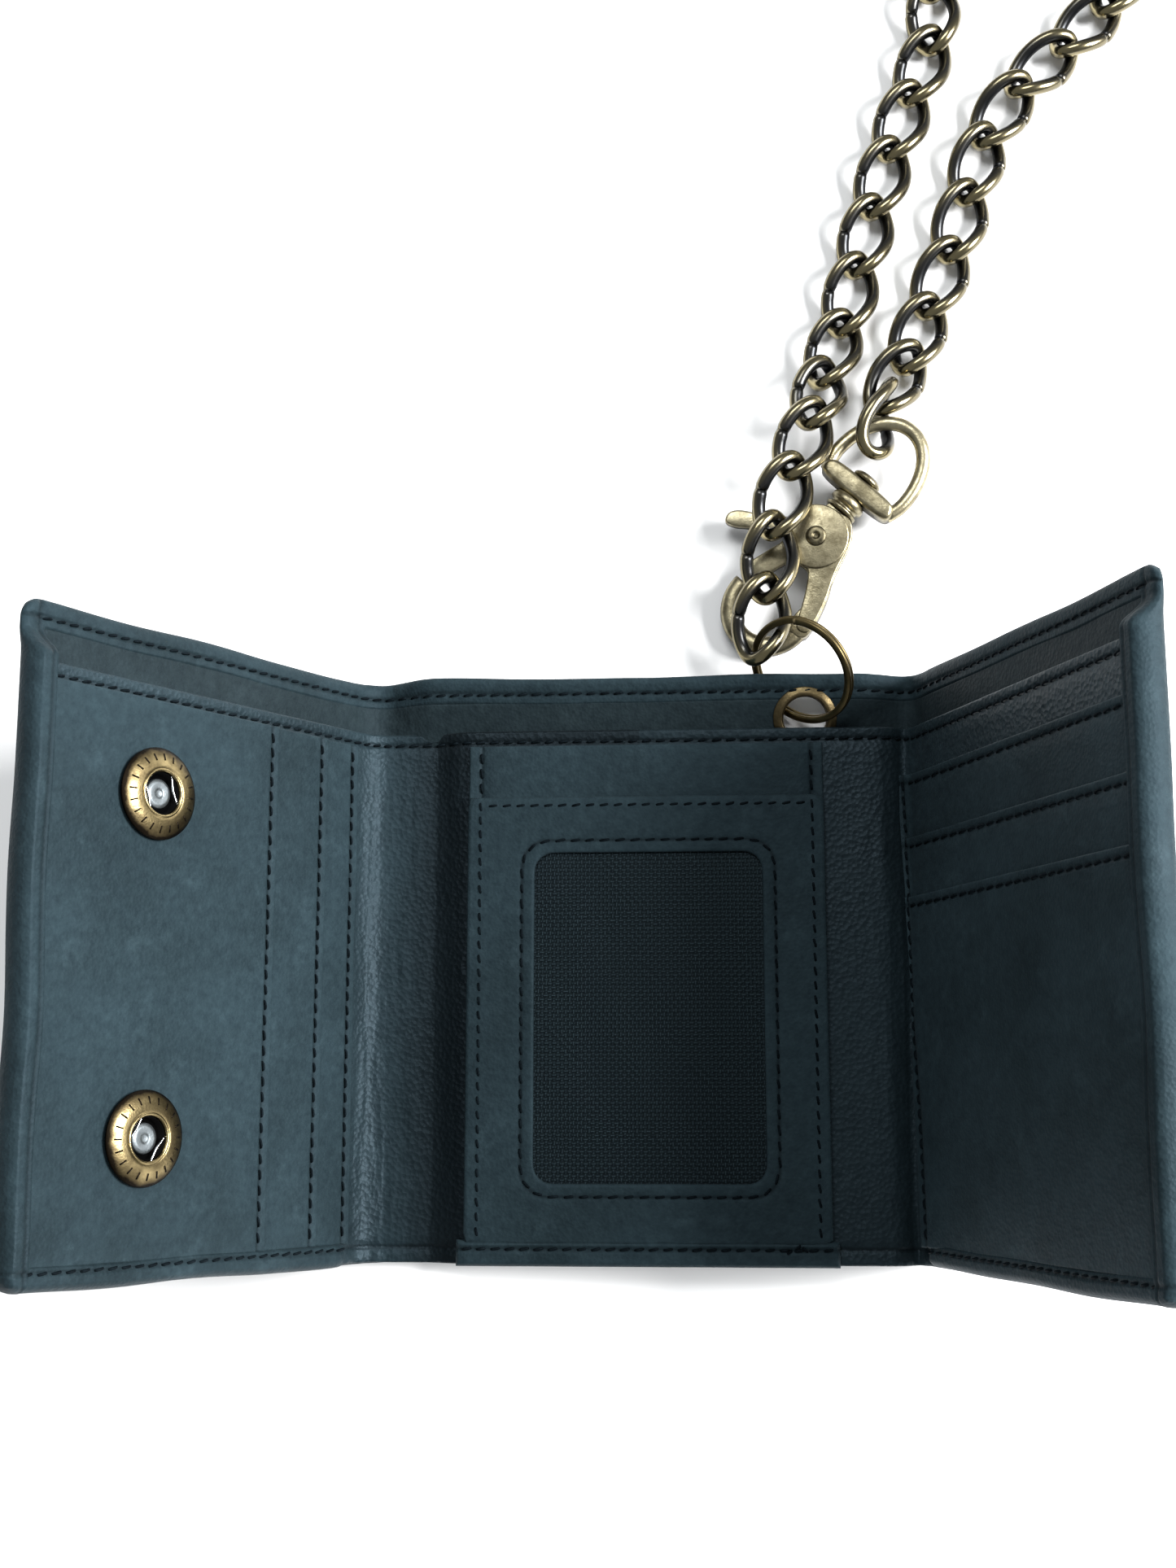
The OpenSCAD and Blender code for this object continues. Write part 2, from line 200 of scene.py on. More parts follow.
def leather_material(name, dark, mid, pale, rough=(0.5, 0.68), gloss=0.11, pebble=0.32, cells_per_m=1500):
    m, nodes, links, bsdf = material(name)
    cloud = noise_tex(nodes, links, 34, 5, 0.6)
    rub = noise_tex(nodes, links, 120, 6, 0.7)
    tone = ramp(nodes, links, cloud, [(0.3, dark), (0.55, mid), (0.78, [c * 1.25 for c in mid])])
    scuff = ramp(nodes, links, rub, [(0.55, (0, 0, 0)), (0.8, (0.26, 0.26, 0.26))])
    flecks = ramp(nodes, links, noise_tex(nodes, links, 620, 5, 0.7),
                  [(0.3, (0.72, 0.74, 0.76)), (0.7, (1.3, 1.28, 1.25))])
    toned = mix(nodes, links, 1.0, mix(nodes, links, scuff, tone, pale), flecks, "MULTIPLY")
    worn = math_node(nodes, links, "MULTIPLY", attribute(nodes, "wear"),
                     ramp(nodes, links, rub, [(0.3, (0.3, 0.3, 0.3)), (0.7, (1, 1, 1))]))
    worked = mix(nodes, links, worn, toned, pale)
    # Painted shade: a vertex attribute mixes the colour towards near black in the stitch grooves and in the
    # fold beside the centre pocket, where shade falls.
    links.new(mix(nodes, links, attribute(nodes, "sewn"), worked, [c * 0.25 for c in dark]),
              bsdf.inputs["Base Color"])
    links.new(ramp(nodes, links, cloud, [(0.3, (rough[0],) * 3), (0.7, (rough[1],) * 3)]),
              bsdf.inputs["Roughness"])
    cells = nodes.new("ShaderNodeTexVoronoi")
    cells.inputs["Scale"].default_value = cells_per_m
    c = nodes.new("ShaderNodeTexCoord")
    links.new(c.outputs["Object"], cells.inputs["Vector"])
    grain = bump(nodes, links, cells.outputs["Distance"], pebble, 0.0002)
    soft = bump(nodes, links, noise_tex(nodes, links, 420, 6, 0.6), 0.3, 0.0004, grain)
    links.new(soft, bsdf.inputs["Normal"])
    bsdf.inputs["Specular IOR Level"].default_value = gloss
    bsdf.inputs["Specular Tint"].default_value = (0.62, 0.84, 1, 1)
    bsdf.inputs["Sheen Weight"].default_value = 0.02
    bsdf.inputs["Sheen Roughness"].default_value = 0.5
    bsdf.inputs["Sheen Tint"].default_value = (0.75, 0.88, 1, 1)
    return m


def metal_material(name, dark, mid, bright, rough=(0.24, 0.5), scale=230, pits=0.25, recess=0.5,
                   stops=(0.2, 0.42, 0.7)):
    """Antique plating: dark in the recesses, rubbed bright where a finger reaches."""
    m, nodes, links, bsdf = material(name)
    patch = noise_tex(nodes, links, scale, 6, 0.62)
    fine = noise_tex(nodes, links, scale * 7, 3, 0.5)
    both = math_node(nodes, links, "MULTIPLY_ADD", patch, 1 - recess)
    both.node.inputs[2].default_value = -0.12
    height = math_node(nodes, links, "MULTIPLY", attribute(nodes, "rub"), recess)
    worn = math_node(nodes, links, "ADD", both, height)
    links.new(ramp(nodes, links, worn, list(zip(stops, (dark, mid, bright)))),
              bsdf.inputs["Base Color"])
    links.new(ramp(nodes, links, worn, [(0.2, (rough[1],) * 3), (0.7, (rough[0],) * 3)]),
              bsdf.inputs["Roughness"])
    bsdf.inputs["Metallic"].default_value = 1
    links.new(bump(nodes, links, fine, pits, 0.00012), bsdf.inputs["Normal"])
    return m


black_leather = leather_material("black_leather_mat", (0.0075, 0.0135, 0.0162), (0.0125, 0.0222, 0.0272),
                                 (0.045, 0.074, 0.088))
lining_leather = leather_material("lining_leather_mat", (0.006, 0.010, 0.0115), (0.010, 0.016, 0.0185),
                                  (0.028, 0.042, 0.048))
wall_leather = leather_material("wall_leather_mat", (0.006, 0.011, 0.0135), (0.0105, 0.019, 0.0235),
                                (0.035, 0.058, 0.07), (0.42, 0.55), 0.2, 0.6, 1150)
antique_brass = metal_material("antique_brass_mat", (0.012, 0.009, 0.006), (0.105, 0.08, 0.04),
                               (0.38, 0.3, 0.15), scale=420, stops=(0.26, 0.45, 0.7))
chain_metal = metal_material("chain_metal_mat", (0.024, 0.025, 0.027), (0.068, 0.066, 0.06),
                             (0.29, 0.245, 0.135), rough=(0.2, 0.3), scale=120, pits=0.08, recess=0.8)
ring_metal = metal_material("ring_metal_mat", (0.035, 0.028, 0.014), (0.12, 0.092, 0.042),
                            (0.3, 0.235, 0.115), rough=(0.28, 0.42), scale=160, pits=0.1)
clip_metal = metal_material("clip_metal_mat", (0.02, 0.017, 0.011), (0.15, 0.13, 0.08),
                            (0.46, 0.41, 0.27), rough=(0.26, 0.5), scale=420, pits=0.3,
                            stops=(0.3, 0.45, 0.66))
# Near-black metal for the cups under the snap rings: painted shade.
painted_shade_cup = metal_material("cup_dark_mat", (0.004, 0.004, 0.004), (0.012, 0.01, 0.008), (0.03, 0.025, 0.018),
                          rough=(0.5, 0.7), scale=300)
steel = metal_material("steel_mat", (0.16, 0.17, 0.18), (0.45, 0.47, 0.49), (0.85, 0.87, 0.89),
                       rough=(0.15, 0.3), scale=500)


zinc = metal_material("zinc_mat", (0.06, 0.07, 0.075), (0.17, 0.19, 0.2), (0.42, 0.45, 0.47),
                      rough=(0.38, 0.55), scale=500)


def thread_material():
    m, nodes, links, bsdf = material("thread_mat")
    links.new(ramp(nodes, links, noise_tex(nodes, links, 900, 3), [
        (0.3, (0.001, 0.0018, 0.0025)), (0.7, (0.004, 0.0065, 0.0085))]), bsdf.inputs["Base Color"])
    bsdf.inputs["Roughness"].default_value = 0.7
    bsdf.inputs["Specular IOR Level"].default_value = 0.06
    bsdf.inputs["Specular Tint"].default_value = (0.62, 0.84, 1, 1)
    links.new(bump(nodes, links, noise_tex(nodes, links, 5200, 2), 0.5, 0.0001), bsdf.inputs["Normal"])
    return m


def mesh_material():
    m, nodes, links, bsdf = material("mesh_mat")
    c = nodes.new("ShaderNodeTexCoord")
    waves = []
    for direction in ("X", "Y"):
        w = nodes.new("ShaderNodeTexWave")
        w.bands_direction = direction
        w.inputs["Scale"].default_value = 1450 / 2 / math.pi
        w.inputs["Distortion"].default_value = 0.6
        links.new(c.outputs["Object"], w.inputs["Vector"])
        waves.append(w.outputs["Fac"])
    weave = math_node(nodes, links, "MULTIPLY", waves[0], waves[1])
    # Painted light: paler colour on the tops of the threads as painted highlight, near black in the gaps and
    # under the crossing threads as painted shade.
    links.new(ramp(nodes, links, attribute(nodes, "rub"), [
        (0.25, (0.0012, 0.002, 0.0025)), (0.7, (0.004, 0.0065, 0.0085)), (0.97, (0.022, 0.034, 0.04))]),
        bsdf.inputs["Base Color"])
    bsdf.inputs["Roughness"].default_value = 0.5
    bsdf.inputs["Specular IOR Level"].default_value = 0.11
    bsdf.inputs["Specular Tint"].default_value = (0.6, 0.88, 1, 1)
    links.new(bump(nodes, links, weave, 0.2, 0.0001), bsdf.inputs["Normal"])
    return m


thread = thread_material()
woven = mesh_material()


# ---------- mesh helpers ----------
def new_object(name, verts, faces, mat, wear=None, rub=None, sewn=None, smooth_shade=True):
    me = bpy.data.meshes.new(name)
    me.from_pydata([tuple(c * MM for c in v) for v in verts], [], faces)
    me.validate()
    for key, values in (("wear", wear), ("rub", rub), ("sewn", sewn)):
        if values is not None:
            a = me.attributes.new(key, "FLOAT", "POINT")
            a.data.foreach_set("value", values)
    me.polygons.foreach_set("use_smooth", [smooth_shade] * len(me.polygons))
    me.materials.append(mat)
    o = bpy.data.objects.new(name, me)
    bpy.context.scene.collection.objects.link(o)
    bm = bmesh.new()
    bm.from_mesh(me)
    bmesh.ops.recalc_face_normals(bm, faces=bm.faces)
    bm.to_mesh(me)
    bm.free()
    return o


def ticks(a, b, step, edge=0.6, lines=(), fine=()):
    """Grid lines from a to b: regular, close together at both ends and round stitch lines."""
    n = max(2, round((b - a) / step))
    out = [a + (b - a) * i / n for i in range(n + 1)]
    for k in (0.05, 0.2, 0.45, 0.75, 1.0):
        out += [a + k * edge, b - k * edge]
    for l in lines:
        out += [l - 0.65, l - 0.3, l, l + 0.3, l + 0.65]
    for lo, hi, fine_step in fine:
        k = round((hi - lo) / fine_step)
        out += [lo + (hi - lo) * i / k for i in range(k + 1)]
    out = sorted(x for x in out if a <= x <= b)
    kept = [out[0]]
    for x in out[1:]:
        if x - kept[-1] > 0.02:
            kept.append(x)
    kept[-1] = b
    return kept


def groove(x, lines, depth=0.26):
    return sum(-depth * max(0.0, 1 - abs(x - l) / 0.65) for l in lines)


def round_corner(u, y, us, ys, rounded, r):
    """Moves a point near a rounded corner of the sheet inwards, so that the corner is an arc."""
    if not r:
        return u, y
    for cu, su, on_u in ((us[0], 1, rounded[0]), (us[-1], -1, rounded[1])):
        for cy, sy, on_y in ((ys[0], 1, rounded[2]), (ys[-1], -1, rounded[3])):
            a, b = 1 - (u - cu) * su / r, 1 - (y - cy) * sy / r
            if on_u and on_y and a > 0 and b > 0:
                a, b = a * math.sqrt(1 - b * b / 2), b * math.sqrt(1 - a * a / 2)
                return cu + su * r * (1 - a), cy + sy * r * (1 - b)
    return u, y


def slab(name, us, ys, low, high, mat, edge=0.6, rounded=(1, 1, 1, 1), u_lines=(), y_lines=(),
         skip=None, rough=0.08, wear_w=0.8, corner=0.0, wavy=0.0, shift=None, dark=None):
    """A closed sheet of leather. rounded flags the edges at low u, high u, low y and high y. dark, when
    given, is painted shade from 0 to 1.
    """
    verts, wear, sewn = [], [], []
    nu, ny = len(us), len(ys)
    for top in (0, 1):
        for u in us:
            for y in ys:
                d = min([99] + [v for v, on in zip(
                    (u - us[0], us[-1] - u, y - ys[0], ys[-1] - y), rounded) if on])
                f = 1.0 if d >= edge else max(0.1, math.sqrt(max(0.0, 1 - (1 - d / edge) ** 2)))
                lo, hi = low(u, y), high(u, y)
                mid, half = (lo + hi) / 2, (hi - lo) / 2
                h = mid + (half if top else -half) * f
                if top:
                    h += groove(u, u_lines) + groove(y, y_lines)
                    h += rough * (wobble(u * 0.09, y * 0.07, lo) + 0.5 * wobble(u * 0.3, y * 0.25, hi))
                h += creases(u, y)
                # Painted shade: the stitch grooves and the dark function darken the colour here, standing in
                # for shade in the grooves and in the fold.
                shade = dark(u, y) if dark else 0.0
                sewn.append(min(1.0, shade - 2.2 * (groove(u, u_lines) + groove(y, y_lines))) if top else 0.0)
                pu, py = round_corner(u, y, us, ys, rounded, corner)
                if shift:
                    pu = shift(pu, py)
                if wavy:
                    py += wavy * wobble(u * 0.04, 3.1, 0.7) * abs(y) / HALF_H
                    pu += wavy * wobble(y * 0.04, 9.2, 1.9) * smooth(flap_s(u) / 60)
                verts.append(on_leather(pu, py, h))
                wear.append(max(0.0, 1 - d / wear_w) * 0.14)
    faces = []
    off = nu * ny
    gone = set()
    for i in range(nu - 1):
        for j in range(ny - 1):
            if skip and skip((us[i] + us[i + 1]) / 2, (ys[j] + ys[j + 1]) / 2):
                gone.add((i, j))
                continue
            a, b, c, d = i * ny + j, (i + 1) * ny + j, (i + 1) * ny + j + 1, i * ny + j + 1
            faces += [(a, d, c, b), (off + a, off + b, off + c, off + d)]
    for i in range(nu - 1):
        for j in range(ny - 1):
            if (i, j) in gone:
                continue
            a, b, c, d = i * ny + j, (i + 1) * ny + j, (i + 1) * ny + j + 1, i * ny + j + 1
            for other, (p, q) in (((i, j - 1), (a, b)), ((i + 1, j), (b, c)), ((i, j + 1), (c, d)),
                                  ((i - 1, j), (d, a))):
                outside = not (0 <= other[0] < nu - 1 and 0 <= other[1] < ny - 1)
                if outside or other in gone:
                    faces.append((p, q, off + q, off + p))
    o = new_object(name, verts, faces, mat, wear=wear, sewn=sewn)
    bm = bmesh.new()
    bm.from_mesh(o.data)
    bmesh.ops.delete(bm, geom=[v for v in bm.verts if not v.link_faces], context="VERTS")
    bm.to_mesh(o.data)
    bm.free()
    return o


def bend_left(o):
    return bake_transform(o)


def bend_right(o):
    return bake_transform(o)


# ---------- stitches ----------
class Stitches:
    """Short arched threads that dip into the leather at both ends."""

    def __init__(self, name):
        self.name, self.verts, self.faces = name, [], []

    def one(self, a, b, up, thick=0.22, arch=0.14):
        run = (b - a)
        length = run.length
        if length < 0.3:
            return
        t = run / length
        side = t.cross(up).normalized()
        first = len(self.verts)
        rings = [(0.0, -0.35, 0.5), (0.1, -0.02, 0.9), (0.3, 0.1, 1), (0.7, 0.1, 1), (0.9, -0.02, 0.9),
                 (1.0, -0.35, 0.5)]
        for k, z, w in rings:
            c = a + run * k + up * (z + (arch - 0.1 if 0.2 < k < 0.8 else 0))
            for j in range(6):
                g = math.pi / 3 * j
                self.verts.append(c + side * (thick * w * math.cos(g))
                                  + up * (thick * 0.75 * w * math.sin(g)))
        for r in range(len(rings) - 1):
            for j in range(6):
                m = (j + 1) % 6
                self.faces.append((first + r * 6 + j, first + r * 6 + m,
                                   first + (r + 1) * 6 + m, first + (r + 1) * 6 + j))
        self.faces.append(tuple(first + j for j in range(5, -1, -1)))
        last = first + (len(rings) - 1) * 6
        self.faces.append(tuple(last + j for j in range(6)))

    def line(self, points, height, pitch=2.6, place=on_leather):
        """points are (u, y); height(u, y) is the leather's top there."""
        for (u0, y0), (u1, y1) in zip(points, points[1:]):
            length = math.hypot(u1 - u0, y1 - y0)
            n = max(1, round(length / pitch))
            for i in range(n):
                ka, kb = (i + 0.14) / n, (i + 0.86) / n
                ua, ya = u0 + (u1 - u0) * ka, y0 + (y1 - y0) * ka
                ub, yb = u0 + (u1 - u0) * kb, y0 + (y1 - y0) * kb
                skew = 0.16 + 0.12 * wobble(ua * 3.1, ya * 2.7, 3.3)
                ha, hb = height(ua, ya), height(ub, yb)
                a, b = place(ua, ya, ha), place(ub, yb, hb)
                up = (place(ua, ya, ha + 1) - a).normalized()
                across = (b - a).cross(up).normalized()
                self.one(a + across * skew, b - across * skew, up)

    def build(self):
        return new_object(self.name, self.verts, self.faces, thread)


# ---------- leather ----------
BOTTOM_SEW, SIDE_SEW, TOP_SEW = -HALF_H + 3.1, 3.1, HALF_H - 3.0
WALL_SEW = WALL_TOP_Y - 2.2


def cover_low(u, y):
    return lift(u, y)


def cover_high(u, y):
    s, base = flap_s(u), lift(u, y) + 1.2
    length = LEFT_L if u < 0 else RIGHT_L
    on_flap = smooth(s / 4)
    bottom = wall_h(u) + (HEM_TOP - wall_h(u)) * on_flap
    k_bottom = smooth((-HALF_H + 4.6 - y) / 0.8)
    k_side = smooth((s - (length - 4.6)) / 0.8)
    k_top = smooth((y - (HALF_H - 5.2)) / 0.7)
    h = base + 0.7 * k_top
    h = max(h, base + (bottom - base) * k_bottom)
    below = 1 if y < WALL_TOP_Y else smooth((WALL_TOP_Y + 5 - y) / 5)
    return max(h, base + (HEM_TOP - base) * k_side * below + 0.7 * k_side)


def in_eyelet(u, y):
    return math.hypot(u - EYELET[0], y - EYELET[1]) < 4.7


def left_half(a):
    return ticks(a, 0, 2.4, 0.9, fine=[(LEFT_X - 12, LEFT_X + 8, 0.7)])


def right_half(b):
    return ticks(0, b, 2.4, 0.9, fine=[(RIGHT_X - 8, RIGHT_X + 11, 0.7), (25.5, 36.5, 0.5)])


y_cover = ticks(-HALF_H, HALF_H, 2.4, 1.5,
                fine=[(-HALF_H, -HALF_H + 5, 0.35), (48, HALF_H, 0.4), (41, 51.5, 0.5)])
us = ticks(left_u(LEFT_L), 0, 2.4, 1.5,
           fine=[(LEFT_X - 12, LEFT_X + 8, 0.7), (left_u(LEFT_L), left_u(LEFT_L - 5.2), 0.35)])
cover_l = slab("cover_skin_left", us, y_cover, cover_low, cover_high, black_leather, edge=1.5,
               rounded=(1, 0, 1, 1), u_lines=(left_u(LEFT_L - SIDE_SEW),), y_lines=(BOTTOM_SEW, TOP_SEW),
               wear_w=1.8, corner=3.6, wavy=0.7)
us = ticks(0, right_u(RIGHT_L), 2.4, 1.5, fine=[(RIGHT_X - 8, RIGHT_X + 11, 0.7), (25.5, 36.5, 0.5),
                                                (right_u(RIGHT_L - 5.2), right_u(RIGHT_L), 0.35)])
cover_r = slab("cover_skin_right", us, y_cover, cover_low, cover_high, black_leather, edge=1.5,
               rounded=(0, 1, 1, 1), u_lines=(right_u(RIGHT_L - SIDE_SEW),), y_lines=(BOTTOM_SEW, TOP_SEW),
               skip=in_eyelet, wear_w=1.8, corner=3.6, wavy=0.7)
bend_left(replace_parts(cover_l, "cover_left", "fold_strip_left"))
bend_right(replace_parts(cover_r, "cover_right", "fold_strip_right", "cover_centre"))


def lining_low(u, y):
    return lift(u, y) + 1.2


def lining_high(u, y):
    return lift(u, y) + 1.7


y_lining = ticks(-HALF_H + 4, HALF_H - 4.5, 3, 0.5, fine=[(41, 49.4, 0.5)])
lining_l = slab("lining_skin_left", left_half(left_u(LEFT_L - 4)), y_lining, lining_low, lining_high,
                lining_leather, edge=0.3, rounded=(1, 0, 1, 1))
lining_r = slab("lining_skin_right", right_half(right_u(RIGHT_L - 4)), y_lining, lining_low, lining_high,
                lining_leather, edge=0.3, rounded=(0, 1, 1, 1), skip=in_eyelet)
bend_left(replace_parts(lining_l, "lining_left"))
bend_right(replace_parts(lining_r, "lining_right", "lining_centre"))


def wall_low(u, y):
    return wall_h(u)


def wall_high(u, y):
    return wall_h(u) + 1.0


def valley_painted_shade(u, y):
    """Painted shade: the wall's colour is darkened where it dips beside the centre pocket, where the pocket's
    edge shades it.
    """
    left, right = smooth((u - LEFT_X + 1.5) / 11), smooth((RIGHT_X + 6 - u) / 6)
    return 0.95 * left if u < 0 else 0.45 * right


y_wall = ticks(-HALF_H + 0.3, WALL_TOP_Y, 2.4, 0.5, lines=(BOTTOM_SEW, WALL_SEW))
wall_l = slab("bill_wall_skin_left", left_half(left_u(LEFT_L - 4)), y_wall, wall_low, wall_high, wall_leather,
              edge=0.5, rounded=(1, 0, 1, 1), y_lines=(BOTTOM_SEW, WALL_SEW), dark=valley_painted_shade)
wall_r = slab("bill_wall_skin_right", right_half(right_u(RIGHT_L - 4)), y_wall, wall_low, wall_high,
              wall_leather, edge=0.5, rounded=(0, 1, 1, 1), y_lines=(BOTTOM_SEW, WALL_SEW), dark=valley_painted_shade)
bend_left(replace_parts(wall_l, "bill_wall_left"))
bend_right(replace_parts(wall_r, "bill_wall_right", "bill_wall_centre"))

# Card slots of the left flap, which open towards the fold
SLOT_LOW = -HALF_H + 3.8
SLOT_SEW = 1.7
SLOT_T = 0.6
POCKET_SEW = 3.4
SLOT_BACK = 3.6
left_slots = (("slot_skin_inner", 1.0, 3.3, "left_slot_inner"),
              ("slot_skin_middle", 9.6, 3.9, "left_slot_middle"),
              ("snap_panel_skin", 22.4, 4.5, "left_snap_panel"))
for name, start, h, node in left_slots:
    us = ticks(left_u(LEFT_L - SLOT_BACK), left_u(start), 2.4, 0.4, lines=(left_u(start + SLOT_SEW),))
    ys = ticks(SLOT_LOW, 41, 2.4, 0.4)
    o = slab(name, us, ys, lambda u, y, h=h: h, lambda u, y, h=h: h + SLOT_T, black_leather, edge=0.35,
             u_lines=(left_u(start + SLOT_SEW),), rough=0.1)
    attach(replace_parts(o, node), "left_flap")

# Card slots of the right flap, which open towards the back edge
right_slots = (("slot_skin_upper", 35.0, 3.3, "right_slot_upper"),
               ("slot_skin_mid", 23.0, 3.9, "right_slot_middle"),
               ("slot_skin_lower", 12.0, 4.5, "right_slot_lower"))


def lean(u, y):
    """The pocket stack's inner edge runs at a slant, nearer the fold at the top."""
    s = flap_s(u)
    return u - 10 * smooth((y + 50) / 95) * max(0.0, 1 - s / 36)


def curl(u, y):
    """The pocket stack's inner edge stands a little off the wall, more towards the bottom."""
    s = flap_s(u)
    return 0.9 * smooth((10 - s) / 9) * smooth((10 - y) / 55)


for name, top, h, node in right_slots:
    us = ticks(right_u(1.6), right_u(RIGHT_L - SLOT_BACK), 2.4, 0.4, lines=(right_u(POCKET_SEW),),
               fine=[(right_u(1.6), right_u(11), 0.8)])
    ys = ticks(SLOT_LOW, top, 2.4, 0.4, lines=(top - SLOT_SEW,))
    o = slab(name, us, ys, lambda u, y, h=h: h + curl(u, y),
             lambda u, y, h=h: h + SLOT_T + curl(u, y), black_leather, edge=0.35,
             u_lines=(right_u(POCKET_SEW),), y_lines=(top - SLOT_SEW,), rough=0.14, shift=lean)
    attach(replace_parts(o, node), "right_flap")

# Centre panel
PX0, PX1, PY0, PY1 = -32.0, 34.0, -50.0, 41.0
SEW_X0, SEW_X1, SEW_FOOT, FRAME_SEW_Y = -29.6, 31.8, -49.2, 29.4
POCKET_TOP, FRAME_TOP = 6.3, 7.42
us = ticks(PX0, PX1, 2.4, 0.4, lines=(SEW_X0, SEW_X1))
pocket = slab("id_pocket_skin", us, ticks(PY0, PY1, 2.4, 0.4), lambda u, y: 5.6, lambda u, y: POCKET_TOP,
              black_leather, edge=0.35, u_lines=(SEW_X0, SEW_X1))
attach(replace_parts(pocket, "id_pocket"), "wallet_centre")

WX0, WX1, WY0, WY1, WR = -19.5, 22.5, -39.5, 20.5, 3.5
FY1 = 31.0


def rounded_box_ray(angle, x0, x1, y0, y1, r, cx, cy):
    """Where a ray from (cx, cy) leaves a box with rounded corners."""
    dx, dy = math.cos(angle), math.sin(angle)
    lo, hi = 0.0, 200.0
    for _ in range(30):
        t = (lo + hi) / 2
        px, py = cx + dx * t, cy + dy * t
        qx = max(abs(px - (x0 + x1) / 2) - (x1 - x0) / 2 + r, 0)
        qy = max(abs(py - (y0 + y1) / 2) - (y1 - y0) / 2 + r, 0)
        inside = (qx * qx + qy * qy) ** 0.5 <= r if (qx > 0 and qy > 0) else max(qx, qy) <= r
        lo, hi = (t, hi) if inside else (lo, t)
    return cx + dx * lo, cy + dy * lo


def loop(x0, x1, y0, y1, r, n=220):
    cx, cy = 1.5, -9.5
    return [rounded_box_ray(2 * math.pi * i / n, x0, x1, y0, y1, r, cx, cy) for i in range(n)]


def frame_skin():
    n = 220
    rings = [(loop(WX0 - d, WX1 + d, WY0 - d, WY1 + d, WR + d * 0.6), d)
             for d in (0, 0.1, 0.3, 0.7, 1.3, 1.8, 2.3, 2.8, 3.4, 5)]
    outer = loop(PX0, PX1, PY0, FY1, 0.6)
    inner = rings[-1][0]
    for k in (0.3, 0.6, 0.9, 0.97, 1.0):
        between = [(a[0] + (b[0] - a[0]) * k, a[1] + (b[1] - a[1]) * k) for a, b in zip(inner, outer)]
        rings.append((between, 5 + 5 * k))
    verts, wear, sewn = [], [], []
    for top in (1, 0):
        for pts, d in rings:
            edge_d = min(d, (10 - d) * 1.0)
            f = 1.0 if edge_d >= 0.4 else max(0.15, math.sqrt(1 - (1 - edge_d / 0.4) ** 2))
            for x, y in pts:
                h = 7.05 + (0.4 if top else -0.4) * f
                if top:
                    h += -0.16 * max(0.0, 1 - abs(d - 2.3) / 0.7) + 0.07 * wobble(x * 0.1, y * 0.1, 5)
                    h += groove(x, (SEW_X0, SEW_X1), 0.12) + groove(y, (FRAME_SEW_Y,), 0.12)
                verts.append(Vector((x, y, h)))
                wear.append(max(0.0, 1 - edge_d / 1.0) * 0.12)
                # Painted shade in the stitch channel round the window.
                sewn.append(0.75 if top and abs(d - 2.3) < 0.3 else 0.0)
    faces, m, off = [], len(rings), len(rings) * n
    for r in range(m - 1):
        for i in range(n):
            j = (i + 1) % n
            a, b, c, d = r * n + i, r * n + j, (r + 1) * n + j, (r + 1) * n + i
            faces += [(a, d, c, b), (off + a, off + b, off + c, off + d)]
    for r in (0, m - 1):
        for i in range(n):
            j = (i + 1) % n
            faces.append((r * n + i, r * n + j, off + r * n + j, off + r * n + i))
    return new_object("id_frame_skin", verts, faces, black_leather, wear=wear, sewn=sewn)


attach(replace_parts(frame_skin(), "id_window_frame"), "wallet_centre")


def mesh_sheet():
    x0, x1, y0, y1 = WX0 - 1.2, WX1 + 1.2, WY0 - 1.2, WY1 + 1.2
    pitch, step = 0.72, 0.18
    nx, ny = round((x1 - x0) / step), round((y1 - y0) / step)
    verts, rub = [], []
    for i in range(nx + 1):
        for j in range(ny + 1):
            x, y = x0 + i * step, y0 + j * step
            bow = 0.05 * math.sin(x * 0.5 + y * 0.2)
            a, b = (x + 0.15 * wobble(x * .1, y * .1)) / pitch, (y + 0.15 * wobble(y * .1, x * .1, 3)) / pitch
            warp_t, weft_t = abs(math.cos(math.pi * a)), abs(math.cos(math.pi * b))
            over = 1 if (round(a) + round(b)) % 2 else -1
            z = 0.055 * (max(warp_t, weft_t) * 2 - 1) + 0.03 * over * (warp_t - weft_t)
            verts.append(Vector((x, y, 6.5 + z + bow * 0.6)))
            # Painted light: the middles of the threads and the thread on top at each crossing get high
            # values, painted paler as highlight; the gaps and the threads passing under get low values,
            # painted near black as shade.
            crossing_painted_light = 0.72 + 0.28 * over * (1 if warp_t > weft_t else -1)
            rub.append(min(1.0, max(0.0, max(warp_t, weft_t) ** 2 * crossing_painted_light)))
    faces = []
    for i in range(nx):
        for j in range(ny):
            a = i * (ny + 1) + j
            faces.append((a, a + ny + 1, a + ny + 2, a + 1))
    return new_object("id_mesh", verts, faces, woven, rub=rub), (x1 - x0) * MM, (y1 - y0) * MM


mesh_piece, mesh_w, mesh_l = mesh_sheet()
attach(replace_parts(mesh_piece, "id_mesh_window"), "wallet_centre")

strip_us = ticks(-33.4, 35.2, 2.4, 0.6)
strip = slab("bottom_strip", strip_us, ticks(-HALF_H, -HALF_H + 4.6, 0.5, 0.8, lines=(BOTTOM_SEW,)),
             lambda u, y: 4.9, lambda u, y: 7.5 + 0.15 * math.sin(u * 0.4), black_leather, edge=0.9,
             y_lines=(BOTTOM_SEW,), wear_w=1.4)
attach(strip, "wallet_centre")

# Stitches
def top_of(extra):
    return lambda u, y: extra


def leaning(u, y, h):
    return on_leather(lean(u, y), y, h)


